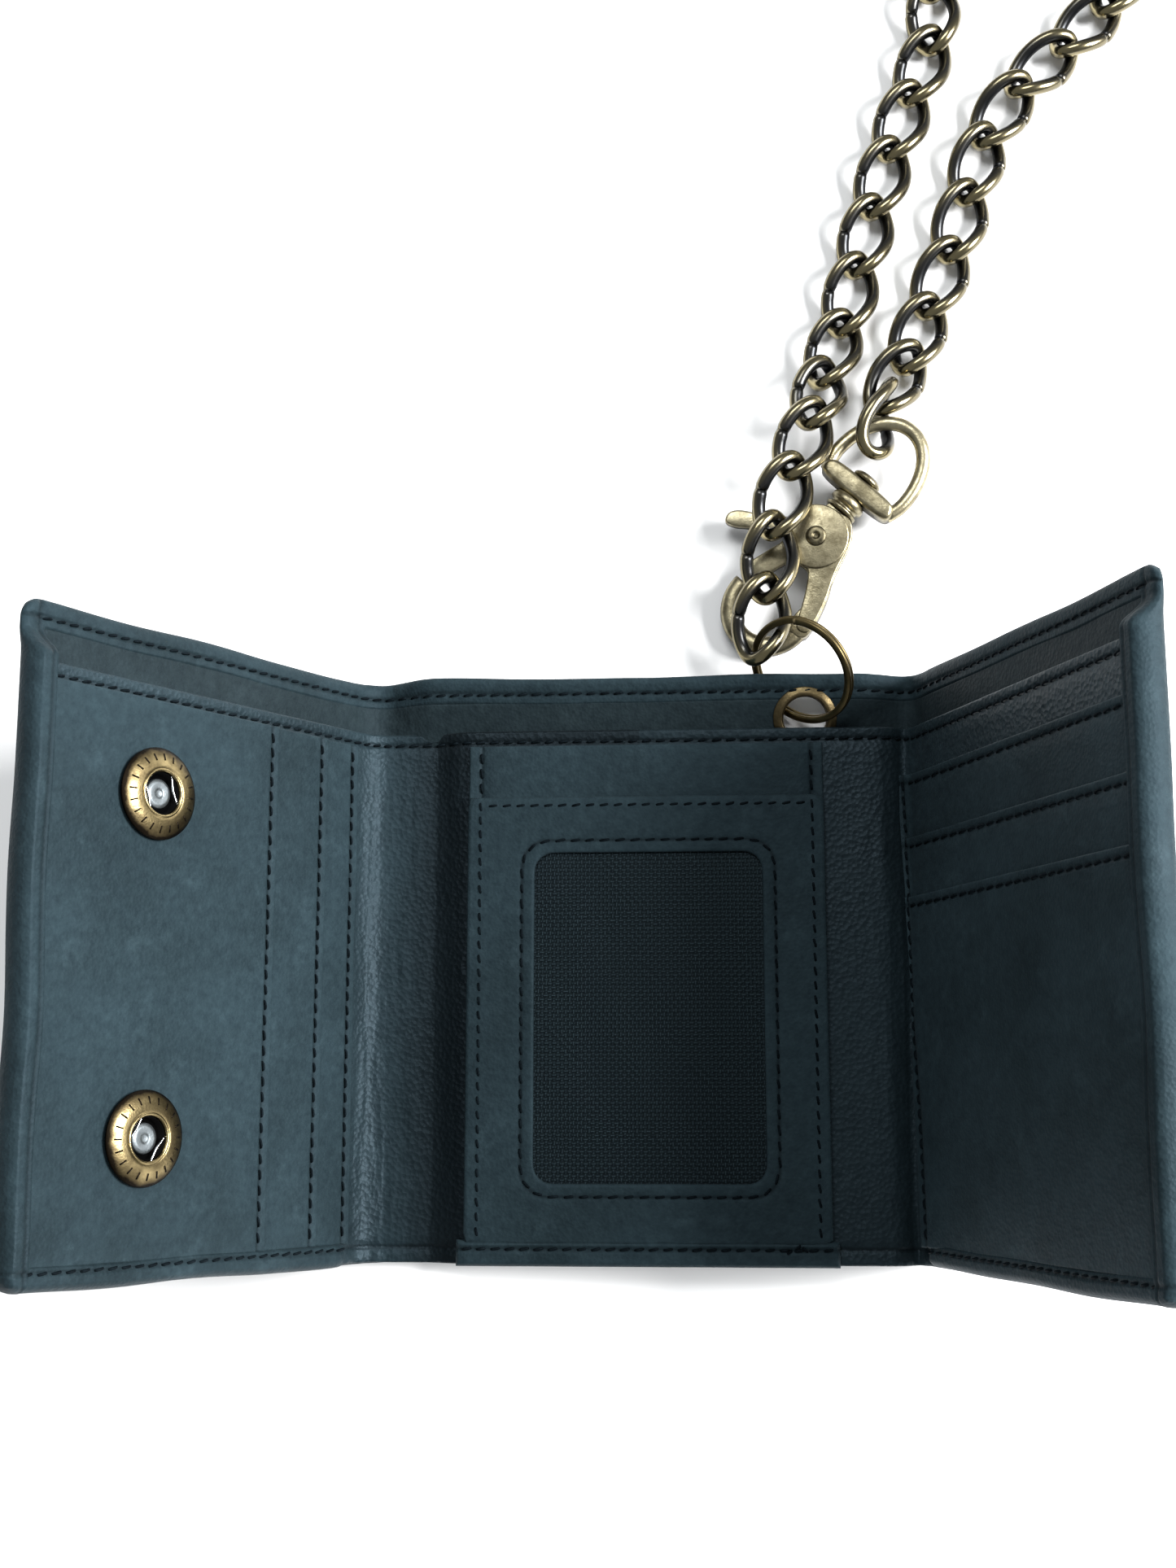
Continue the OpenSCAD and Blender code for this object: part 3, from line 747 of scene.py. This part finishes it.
left_sew, right_sew = Stitches("stitches_left"), Stitches("stitches_right")
LU, RU = left_u(LEFT_L - SIDE_SEW), right_u(RIGHT_L - SIDE_SEW)
left_sew.line([(LU, WALL_TOP_Y - 1), (LU, BOTTOM_SEW)], top_of(HEM_TOP))
left_sew.line([(LU, BOTTOM_SEW), (left_u(3), BOTTOM_SEW)], top_of(HEM_TOP))
left_sew.line([(LU, TOP_SEW), (0, TOP_SEW)], cover_high)
left_sew.line([(left_u(LEFT_L - 5), WALL_SEW), (0, WALL_SEW)], lambda u, y: wall_high(u, y) + creases(u, y))
for name, start, h, node in left_slots:
    left_sew.line([(left_u(start + SLOT_SEW), 40), (left_u(start + SLOT_SEW), SEW_FOOT)], top_of(h + SLOT_T))
right_sew.line([(RU, BOTTOM_SEW), (RU, WALL_TOP_Y - 1)], top_of(HEM_TOP))
right_sew.line([(right_u(3), BOTTOM_SEW), (RU, BOTTOM_SEW)], top_of(HEM_TOP))
right_sew.line([(0, TOP_SEW), (EYELET[0] - 6, TOP_SEW), (RU, TOP_SEW)], cover_high)
right_sew.line([(0, WALL_SEW), (right_u(RIGHT_L - 5), WALL_SEW)],
               lambda u, y: wall_high(u, y) + creases(u, y))
for name, top, h, node in right_slots:
    right_sew.line([(right_u(5), top - SLOT_SEW), (right_u(RIGHT_L - 5), top - SLOT_SEW)],
                   lambda u, y, h=h: h + SLOT_T + curl(u, y), place=leaning)
right_sew.line([(right_u(POCKET_SEW), 34), (right_u(POCKET_SEW), SEW_FOOT)],
               lambda u, y: (3.9 if y > 23 else 4.5 if y > 12 else 5.1) + curl(u, y), place=leaning)
bend_left(left_sew.build())
bend_right(right_sew.build())

centre_sew = Stitches("stitches_centre")
for sew_x in (SEW_X0, SEW_X1):
    centre_sew.line([(sew_x, 40), (sew_x, 31.5)], top_of(POCKET_TOP))
for sew_x in (SEW_X0, SEW_X1):
    centre_sew.line([(sew_x, 30.5), (sew_x, SEW_FOOT)], top_of(FRAME_TOP))
centre_sew.line([(-28.6, FRAME_SEW_Y), (31, FRAME_SEW_Y)], top_of(FRAME_TOP))
around = loop(WX0 - 2.3, WX1 + 2.3, WY0 - 2.3, WY1 + 2.3, WR + 1.4, 440)
spots, length = [around[0]], 0.0
for a, b in zip(around, around[1:] + around[:1]):
    length += math.hypot(b[0] - a[0], b[1] - a[1])
    if length >= 2.45:
        spots.append(b)
        length = 0.0
centre_sew.line(spots, top_of(7.36), pitch=4)
centre_sew.line([(-32.6, BOTTOM_SEW), (34.4, BOTTOM_SEW)], top_of(7.5))
centre_sew.line([(25.5, BOTTOM_SEW - 0.7), (28.5, BOTTOM_SEW + 0.9), (29.5, BOTTOM_SEW - 0.6)],
                top_of(7.55), pitch=2)
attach(centre_sew.build(), "wallet_centre")

# ---------- turned and swept metal ----------
def lathe(profile, n=56, rub=None):
    """Turned about +Z from (radius, height) points."""
    verts, faces, rubs = [], [], []
    m = len(profile)
    for i in range(n):
        g = 2 * math.pi * i / n
        for k, (r, z) in enumerate(profile):
            verts.append(Vector((r * math.cos(g), r * math.sin(g), z)))
            rubs.append(rub[k] if rub else 0.5)
    for i in range(n):
        j = (i + 1) % n
        for k in range(m - 1):
            faces.append((i * m + k, j * m + k, j * m + k + 1, i * m + k + 1))
    return verts, faces, rubs


def rounded(profile, r=0.18, steps=3):
    """Rounds the corners of a (radius, height) outline, ends kept."""
    out = [profile[0]]
    for p, q, s in zip(profile, profile[1:], profile[2:]):
        a, b, c = Vector(p), Vector(q), Vector(s)
        k1 = min(r, (a - b).length * 0.45)
        k2 = min(r, (c - b).length * 0.45)
        p1, p2 = b + (a - b).normalized() * k1, b + (c - b).normalized() * k2
        for i in range(steps + 1):
            t = i / steps
            out.append(tuple(p1 * (1 - t) ** 2 + b * (2 * t * (1 - t)) + p2 * t ** 2))
    out.append(profile[-1])
    return out


def sweep(points, section):
    """Section (list of (side, up)) swept along points; returns verts and faces."""
    n, k = len(points), len(section)
    verts = []
    up = Vector((0, 0, 1))
    for i, p in enumerate(points):
        t = (points[min(i + 1, n - 1)] - points[max(i - 1, 0)]).normalized()
        side = t.cross(up).normalized()
        u = side.cross(t)
        for a, b in section:
            verts.append(p + side * a + u * b)
    faces = []
    for i in range(n - 1):
        j = i + 1
        for a in range(k):
            b = (a + 1) % k
            faces.append((i * k + a, i * k + b, j * k + b, j * k + a))
    faces += [tuple(range(k - 1, -1, -1)), tuple((n - 1) * k + a for a in range(k))]
    return verts, faces


def round_section(rx, ry, n=14, power=1.0):
    out = []
    for i in range(n):
        g = 2 * math.pi * i / n
        c, s = math.cos(g), math.sin(g)
        out.append((rx * math.copysign(abs(c) ** power, c), ry * math.copysign(abs(s) ** power, s)))
    return out


def placed(name, verts, faces, mat, matrix, rub=None):
    return new_object(name, [matrix @ v for v in verts], faces, mat, rub=rub or [0.5] * len(verts))


def merge(parts):
    verts, faces, rubs = [], [], []
    for v, f, r in parts:
        off = len(verts)
        verts += v
        faces += [tuple(i + off for i in face) for face in f]
        rubs += r
    return verts, faces, rubs


def plate(outline, z0, z1, bevel=0.3, curve=True):
    """A flat plate with rounded edges, from an outline in X and Y."""
    if curve:
        n = len(outline)
        pts = []
        for i in range(n):
            p0, p1, p2, p3 = (Vector(outline[(i + k) % n]) for k in (-1, 0, 1, 2))
            for t in (0, 0.25, 0.5, 0.75):
                pts.append(0.5 * ((2 * p1) + (p2 - p0) * t + (2 * p0 - 5 * p1 + 4 * p2 - p3) * t * t
                                  + (3 * p1 - p0 - 3 * p2 + p3) * t ** 3))
    else:
        pts = [Vector(p) for p in outline]
    bm = bmesh.new()
    vs = [bm.verts.new((p.x, p.y, z0)) for p in pts]
    f = bm.faces.new(vs)
    r = bmesh.ops.extrude_face_region(bm, geom=[f])
    for v in (g for g in r["geom"] if isinstance(g, bmesh.types.BMVert)):
        v.co.z = z1
    bmesh.ops.recalc_face_normals(bm, faces=bm.faces)
    rims = [e for e in bm.edges if abs(e.verts[0].co.z - e.verts[1].co.z) < 1e-6]
    bmesh.ops.bevel(bm, geom=rims, offset=bevel, segments=3, profile=0.5, affect="EDGES", clamp_overlap=True)
    bmesh.ops.triangulate(bm, faces=[f for f in bm.faces if len(f.verts) > 4])
    verts = [v.co.copy() for v in bm.verts]
    bm.verts.index_update()
    faces = [tuple(v.index for v in f.verts) for f in bm.faces]
    top = max(v.z for v in verts)
    rubs = [0.75 if top - v.z < bevel * 1.05 else 0.25 for v in verts]
    bm.free()
    return verts, faces, rubs


def place_on(angle_deg, x, y, z, side):
    """A matrix whose Z is the flap's normal: side -1 the left flap, 1 the right flap."""
    x0, z0, opened = (LEFT_X, LEFT_Z, LEFT_OPEN) if side < 0 else (RIGHT_X, RIGHT_Z, -RIGHT_OPEN)
    return (Matrix.Translation((x0, 0, z0)) @ Matrix.Rotation(opened, 4, "Y")
            @ Matrix.Translation((x, y, z - z0)) @ Matrix.Rotation(math.radians(angle_deg), 4, "Z"))


# Snap fasteners
SNAP_S, SNAP_YS = 50.0, (25.0, -31.0)
ring_profile = rounded([(3.6, 0.1), (3.6, 1.6), (4.2, 2.1), (5.6, 1.95), (7.1, 1.4), (7.8, 0.85), (7.6, 0.6),
                        (6.0, 0.5), (6.0, 0.05), (3.6, 0.1)], 0.45, 4)
ring_rub = [0.05 + 0.75 * smooth((z - 0.8) / 1.1) for r, z in ring_profile]
bead = [(3.9 + 0.32 * math.cos(g), 1.85 + 0.32 * math.sin(g))
        for g in [math.pi * 2 * k / 10 for k in range(11)]]
rings, cups, posts, springs = [], [], [], []
for y in SNAP_YS:
    m = place_on(17 if y > 0 else -35, -SNAP_S, y, 5.1, -1)
    for prof, rub in ((ring_profile, ring_rub), (bead, [0.95] * 11)):
        v, f, r = lathe(prof, 72, rub)
        rings.append(([m @ p for p in v], f, r))
    # short struck marks round the ring, plain ornament
    for k in range(20):
        g = 2 * math.pi * k / 20
        mark = (Matrix.Rotation(g, 4, "Z") @ Matrix.Translation((6.1, 0, 1.84))
                @ Matrix.Rotation(math.radians(20), 4, "Y"))
        v = [Vector((x, w, z)) for x, w in ((-0.62, -0.13), (0.62, -0.13), (0.62, 0.13), (-0.62, 0.13))
             for z in (-0.3, 0.0)]
        f = [(1, 3, 5, 7), (0, 1, 3, 2), (2, 3, 5, 4), (4, 5, 7, 6), (6, 7, 1, 0)]
        rings.append(([m @ (mark @ p) for p in v], f, [0.0] * 8))
    # A near-black cup under each ring: painted shade in the post's well and in the gap under the ring's outer
    # lip.
    v, f, r = lathe([(7.3, 0.06), (3.6, 0.08), (3.5, 1.6), (3.4, 1.6), (3.4, 0.1), (0.001, 0.1)], 48,
                    [0.0] * 6)
    cups.append(([m @ p for p in v], f, r))
    v, f, r = lathe(rounded([(2.5, 0.1), (2.5, 0.7), (1.9, 1.0), (0.9, 0.95), (0.6, 0.7), (0.001, 0.65)],
                            0.18), 36)
    posts.append(([m @ p for p in v], f, r))
    for x in (-1, 1):
        pts = [m @ Vector((x * (2.6 + 0.3 * abs(k / 6.0)), 2.7 * k / 6.0, 1.35)) for k in range(-6, 7)]
        v, f = sweep(pts, round_section(0.17, 0.17, 8))
        springs.append((v, f, [0.9] * len(v)))
v, f, r = merge(rings)
o = placed("snap_rings_domed", v, f, antique_brass, Matrix.Identity(4), r)
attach(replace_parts(o, "snap_socket_rings"), "left_flap")
v, f, r = merge(cups)
o = placed("snap_cups", v, f, painted_shade_cup, Matrix.Identity(4), r)
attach(o, "left_flap")
v, f, r = merge(posts)
o = placed("snap_posts_dimpled", v, f, zinc, Matrix.Identity(4), r)
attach(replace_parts(o, "snap_socket_posts"), "left_flap")
v, f, r = merge(springs)
o = placed("snap_springs_bent", v, f, steel, Matrix.Identity(4), r)
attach(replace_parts(o, "snap_socket_springs"), "left_flap")

caps, studs, rivets = [], [], []
for y in SNAP_YS:
    m = place_on(0, -SNAP_S, y, 0, -1)
    v, f, r = lathe(rounded([(0.001, -1.0), (3.8, -0.98), (5.2, -0.75), (6.1, -0.3), (6.2, 0.1)], 0.6, 4), 64,
                    None)
    caps.append(([m @ p for p in v], f, [0.7] * len(v)))
    m = place_on(0, RIGHT_X - LEFT_X - SNAP_S, y, 0, 1)
    v, f, r = lathe(rounded([(0.001, -1.6), (1.7, -1.6), (2.2, -1.35), (1.9, -0.8), (1.95, -0.5),
                             (5.1, -0.5), (5.5, -0.25), (5.5, 0.05)], 0.2), 56)
    studs.append(([m @ p for p in v], f, [0.6] * len(v)))
    v, f, r = lathe(rounded([(3.0, 1.7), (3.0, 2.0), (2.4, 2.2), (0.9, 2.2), (0.6, 2.0), (0.001, 1.95)],
                            0.2), 40)
    rivets.append(([m @ p for p in v], f, [0.6] * len(v)))
for name, group, mat, slot, node, body in (
        ("snap_caps_domed", caps, antique_brass, "antique_brass", "snap_caps", "left_flap"),
        ("snap_studs_turned", studs, antique_brass, "antique_brass", "snap_studs", "right_flap"),
        ("stud_rivets_turned", rivets, steel, "steel", "snap_stud_rivets", "right_flap")):
    v, f, r = merge(group)
    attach(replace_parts(placed(name, v, f, mat, Matrix.Identity(4), r), node), body)

# Eyelet and split ring
eyelet_z = (EYELET[1] - LIFT_Y) * LIFT_SLOPE + 0.6
on_eyelet = Matrix.Translation((*EYELET, eyelet_z)) @ Matrix.Rotation(math.atan(LIFT_SLOPE), 4, "X")
v, f, r = lathe(rounded([(4.05, -0.62), (4.4, -0.85), (5.0, -0.82), (5.2, -0.62), (4.5, -0.6), (4.45, 1.0),
                         (4.05, 1.15), (4.0, 0.4), (4.05, -0.62)], 0.12), 64)
o = placed("eyelet_turned", v, f, antique_brass, on_eyelet, r)
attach(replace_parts(o, "eyelet"), "wallet_centre")
v, f, r = lathe(rounded([(4.1, 1.1), (4.3, 1.75), (4.9, 1.7), (5.9, 1.25), (6.0, 1.1), (4.1, 1.1)], 0.2), 64,
                None)
o = placed("washer_domed", v, f, antique_brass, on_eyelet, [0.55] * len(v))
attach(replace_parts(o, "eyelet_washer"), "wallet_centre")

chord_slope = math.atan(LIFT_SLOPE * math.cos(math.radians(36)))
ring_place = (Matrix.Translation((*EYELET, eyelet_z)) @ Matrix.Rotation(math.radians(126), 4, "Z")
              @ Matrix.Rotation(-chord_slope, 4, "Y") @ Matrix.Rotation(math.radians(130), 4, "X")
              @ Matrix.Translation((7.8, math.sqrt(100 - 7.8 ** 2), 0)))
pts = []
turns, n = 2.04, 180
for i in range(n + 1):
    g = 2 * math.pi * turns * i / n
    k = smooth((i / n - 0.44) / 0.09)
    pts.append(Vector((10 * math.cos(g + 0.6), 10 * math.sin(g + 0.6), -0.4 + 0.8 * k)))
v, f = sweep(pts, round_section(0.68, 0.4, 12, 0.6))
o = placed("split_ring_wound", v, f, ring_metal, ring_place, [0.55] * len(v))
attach(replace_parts(o, "split_ring"), "ring")

# ---------- chain ----------
ROUTE = [
    [22, 58.3, 9.5], [24.1, 69.7, 9.5], [25.6, 81.7, 10.2], [29.4, 93.4, 9.8], [33.9, 104.8, 8.3],
    [36, 113.6, 4.6], [40, 124.6, 3], [43.2, 136.8, 3], [46.6, 149, 3],
    [50.4, 161.2, 3], [54.8, 173, 3], [59.4, 184.6, 3], [59.7, 196.4, 3],
    [59.1, 207.9, 3.2], [63.5, 218.9, 3.1], [72.4, 226, 3.3], [84.1, 227.8, 3.1], [94.4, 222.8, 3.2],
    [100, 212.6, 3.1], [99.7, 201.1, 3.2], [94.2, 190.9, 3.3], [85.2, 181.9, 3.4], [75.8, 173.3, 3.7],
    [69, 163.4, 3], [65.2, 151.4, 3], [61.6, 139.4, 3], [56.8, 127.8, 3],
    [52.2, 116.2, 3.7], [47.7, 108.8, 5], [45.1, 99.1, 7.6],
]
ROLLS = [2, 6, 2, 6, 2, -4, 0, 0, 0, 0, 0, 0, 2, 1, 1, 0, 0, 0, 0, -2, 0, 0, 0, 0, 0, 0, 2, -4, -66]
LINK_A, LINK_B, LINK_TWIST, WIRE = 8.0, 4.35, math.radians(45), 1.29


def link_point(f):
    t = LINK_TWIST * math.cos(f)
    return Vector((LINK_A * math.cos(f), LINK_B * math.sin(f) * math.cos(t),
                   LINK_B * math.sin(f) * math.sin(t)))


def link_mesh():
    n, k, seam = 64, 14, 0.002
    verts, faces, rubs = [], [], []
    start = math.pi / 2 + seam
    for i in range(n + 1):
        f = start + (2 * math.pi - 2 * seam) * i / n
        p = link_point(f)
        t = (link_point(f + 0.01) - link_point(f - 0.01)).normalized()
        roll = LINK_TWIST * math.cos(f)
        face = Vector((0, -math.sin(roll), math.cos(roll)))
        side = face.cross(t).normalized()
        up = t.cross(side)
        close = min(i, n - i)
        w = WIRE * (0.88 if close == 0 else 1.0)
        for j in range(k):
            g = 2 * math.pi * j / k
            d = side * math.cos(g) + up * math.sin(g)
            verts.append(p + d * w)
            outward = d.dot(Vector((p.x * 0.4, p.y, p.z)).normalized())
            rubs.append(min(1.0, max(0.0, 0.42 + 0.34 * outward
                                          + 0.32 * abs(d.dot(face)) * (0.4 + abs(math.cos(f))) - 0.1)))
    for i in range(n):
        for j in range(k):
            m = (j + 1) % k
            faces.append((i * k + j, i * k + m, (i + 1) * k + m, (i + 1) * k + j))
    faces += [tuple(range(k - 1, -1, -1)), tuple(n * k + j for j in range(k))]
    return verts, faces, rubs


LINK = link_mesh()


def link_matrix(k):
    a, b = Vector(ROUTE[k - 1]), Vector(ROUTE[k])
    run = b - a
    return (Matrix.Translation((a + b) / 2) @ Matrix.Rotation(math.atan2(run.y, run.x), 4, "Z")
            @ Matrix.Rotation(-math.asin(run.z / run.length), 4, "Y")
            @ Matrix.Rotation(math.radians(ROLLS[k - 1]), 4, "X"))


bodies = frame["record"]["behaviour"]["bodies"]
body_of_node = {n: b for b, nodes in bodies.items() for n in nodes}
for k in list(range(1, 12)) + list(range(21, 30)):
    node = "chain_link_%02d" % k
    o = placed("link_%02d" % k, *LINK[:2], chain_metal, link_matrix(k), LINK[2])
    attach(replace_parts(o, node), body_of_node[node])
v, f, r = merge([([link_matrix(k) @ p for p in LINK[0]], LINK[1], LINK[2]) for k in range(12, 21)])
o = placed("links_far", v, f, chain_metal, Matrix.Identity(4), r)
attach(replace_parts(o, "chain_links_far_loop"), "chain_loop")

# ---------- swivel clip ----------
CLIP = (Matrix.Translation((33.8, 80.8, 4.4)) @ Matrix.Rotation(math.radians(-42), 4, "Z")
        @ Matrix.Rotation(math.radians(5), 4, "X"))
loop_pts = [Vector((7.3, 11.7, 0)), Vector((7.75, 12.9, 0)), Vector((8.1, 14.2, 0))]
for i in range(49):
    g = math.pi * i / 48
    loop_pts.append(Vector((8.25 * math.cos(g), 15.5 + 11.9 * math.sin(g) ** 0.95, 0)))
loop_pts += [Vector((-p.x, p.y, 0)) for p in reversed(loop_pts[:3])]
v, f = sweep(loop_pts, round_section(1.36, 1.28, 18))
o = placed("swivel_loop_wire", v, f, clip_metal, CLIP, [0.5 + 0.4 * (p.z > 0.3) for p in v])
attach(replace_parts(o, "swivel_loop"), "swivel")

v, f, r = plate([(-7.9, 10.8), (-7.7, 13.1), (-5, 14), (5, 14), (7.7, 13.1), (7.9, 10.8), (4, 10.2),
                 (-4, 10.2)], -2.6, 2.6, 0.8)
o = placed("swivel_collar_block", v, f, clip_metal, CLIP, r)
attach(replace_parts(o, "swivel_collar"), "swivel")

turned = Matrix.Rotation(math.radians(-90), 4, "X")
v, f, r = lathe(rounded([(0.001, 6.6), (3.2, 6.7), (3.4, 7.3), (2.7, 7.7), (2.8, 8.1), (3.5, 8.5),
                         (3.5, 9.4), (3.0, 10.0), (1.5, 10.1), (1.5, 14.1), (2.9, 14.15), (3.0, 14.8),
                         (2.3, 15.4), (0.001, 15.5)], 0.3), 48)
o = placed("swivel_post_turned", v, f, clip_metal, CLIP @ turned,
           [0.75 if 2.4 < math.hypot(p.x, p.y) else 0.3 for p in v])
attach(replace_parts(o, "swivel_post"), "clip")

cheek = [(-4.6, 3.6), (-2.6, 5.6), (0.2, 6.4), (2.9, 6.5), (5.2, 4.4), (6.3, 1.2), (7.4, -3), (9.4, -8),
         (10.6, -12.5),
         (10.7, -15.2), (8.6, -15.6), (7.2, -13), (5.2, -9), (2.6, -5.6), (-1, -6), (-4.4, -4.2), (-6, -0.4)]
parts = [plate(cheek, 1.25, 2.2, 0.3), plate(cheek, -2.3, -1.25, 0.3)]
disc = [(6.2 * math.cos(math.pi * k / 14), 6.2 * math.sin(math.pi * k / 14)) for k in range(28)]
parts.append(plate(disc, 1.6, 2.65, 0.3))
parts.append(plate([(6.5, -4), (7.6, -4), (9.6, -8), (10.9, -13), (10.8, -16.4), (7.1, -16.4), (6.8, -10)],
                   -1.9, 1.9, 0.5))
parts.append(plate([(-2.6, 5.5), (-2.4, 6.6), (2.4, 6.6), (2.6, 5.5)], -2.1, 2.1, 0.25, curve=False))
bow = [Vector((2 + 7 * math.cos(g), -16.1 + 7.4 * math.sin(g), 0))
       for g in [math.radians(6 - 192 * i / 40) for i in range(41)]]
v, f = sweep(bow, round_section(1.97, 1.87, 16, 0.85))
parts.append((v, f, [0.8 if p.z > 0.4 else 0.35 for p in v]))
v, f, r = merge(parts)
o = placed("clip_body_cast", v, f, clip_metal, CLIP, r)
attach(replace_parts(o, "clip_body"), "clip")

lever = [(3.4, 0.8), (1.6, 3.2), (-1.4, 3.5), (-5, 1.2), (-10, -2.6), (-14.4, -4.9), (-16, -6.8),
         (-15.4, -8.6), (-13.4, -8.2),
         (-11, -6.6), (-7.4, -4.6), (-4.6, -4.2), (-5.6, -8), (-6.9, -12.4), (-6.4, -14.4),
         (-4.8, -15), (-3.2, -14.8),
         (-2.7, -12.6), (-1.2, -7.6), (1.8, -3.1)]
v, f, r = plate(lever, -1.1, 1.1, 0.4)
r = [0.85 if p.z > 0.6 else 0.3 for p in v]
o = placed("clip_lever_cast", v, f, clip_metal, CLIP, r)
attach(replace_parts(o, "clip_lever"), "lever")

v, f, r = lathe(rounded([(0.001, -2.75), (1.6, -2.75), (1.9, -2.45), (1.9, -2.3), (1.0, -2.3), (1.0, 2.3),
                         (1.95, 2.3),
                         (1.95, 2.85), (1.5, 3.1), (0.75, 3.15), (0.5, 2.85), (0.001, 2.8)], 0.2), 40)
o = placed("lever_pin_peened", v, f, clip_metal, CLIP, r)
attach(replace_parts(o, "lever_pin"), "clip")
coil = [Vector((4.9 + 0.62 * math.cos(g), 1.2 + 0.62 * math.sin(g), -0.75 + 1.5 * g / (8 * math.pi)))
        for g in [8 * math.pi * i / 80 for i in range(81)]]
v, f = sweep(coil, round_section(0.17, 0.17, 6))
o = placed("lever_spring_coil", v, f, steel, CLIP, [0.6] * len(v))
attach(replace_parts(o, "lever_spring"), "clip")

# ---------- stage, light and camera ----------
floor_mat, nodes, links, bsdf = material("floor_mat")
links.new(ramp(nodes, links, noise_tex(nodes, links, 3, 2),
               [(0.3, (0.93, 0.93, 0.93)), (0.7, (0.96, 0.96, 0.96))]),
          bsdf.inputs["Base Color"])
bsdf.inputs["Roughness"].default_value = 0.9
bsdf.inputs["Specular IOR Level"].default_value = 0.1
bpy.ops.mesh.primitive_plane_add(size=6, location=(0, 0, -0.0002))
floor = bpy.context.object
floor.name = "floor"
floor.data.materials.append(floor_mat)

world = bpy.data.worlds.new("studio")
bpy.context.scene.world = world
world.use_nodes = True
world.node_tree.nodes["Background"].inputs[0].default_value = (0.95, 0.98, 1, 1)
world.node_tree.nodes["Background"].inputs[1].default_value = 0.33


def area(name, loc, target, size, power, colour=(1, 1, 1)):
    d = bpy.data.lights.new(name, "AREA")
    d.shape = "RECTANGLE"
    d.size, d.size_y = size
    d.energy, d.color = power, colour
    o = bpy.data.objects.new(name, d)
    o.location = loc
    o.rotation_euler = (Vector(target) - Vector(loc)).to_track_quat("-Z", "Y").to_euler()
    bpy.context.scene.collection.objects.link(o)


KEY_WATTS, TOP_WATTS = 41, 5
area("key", (0.9, 0.12, 0.66), (-0.06, 0, 0.03), (0.5, 0.45), KEY_WATTS)
area("top", (-0.1, 0.5, 0.9), (0.02, 0.08, 0), (0.5, 0.3), TOP_WATTS, (0.97, 0.99, 1))

bpy.context.scene.view_settings.view_transform = "Standard"
cam = bpy.data.cameras.new("camera")
cam.sensor_fit = "VERTICAL"
cam.sensor_height = 36
cam.lens = 42.42
cam.clip_start = 0.01
camera = bpy.data.objects.new("camera", cam)
camera.location = (0.0144, -0.02686, 0.34533)
camera.rotation_euler = [math.radians(a) for a in (10.08, 4.05, 0.03)]
bpy.context.scene.collection.objects.link(camera)
bpy.context.scene.camera = camera
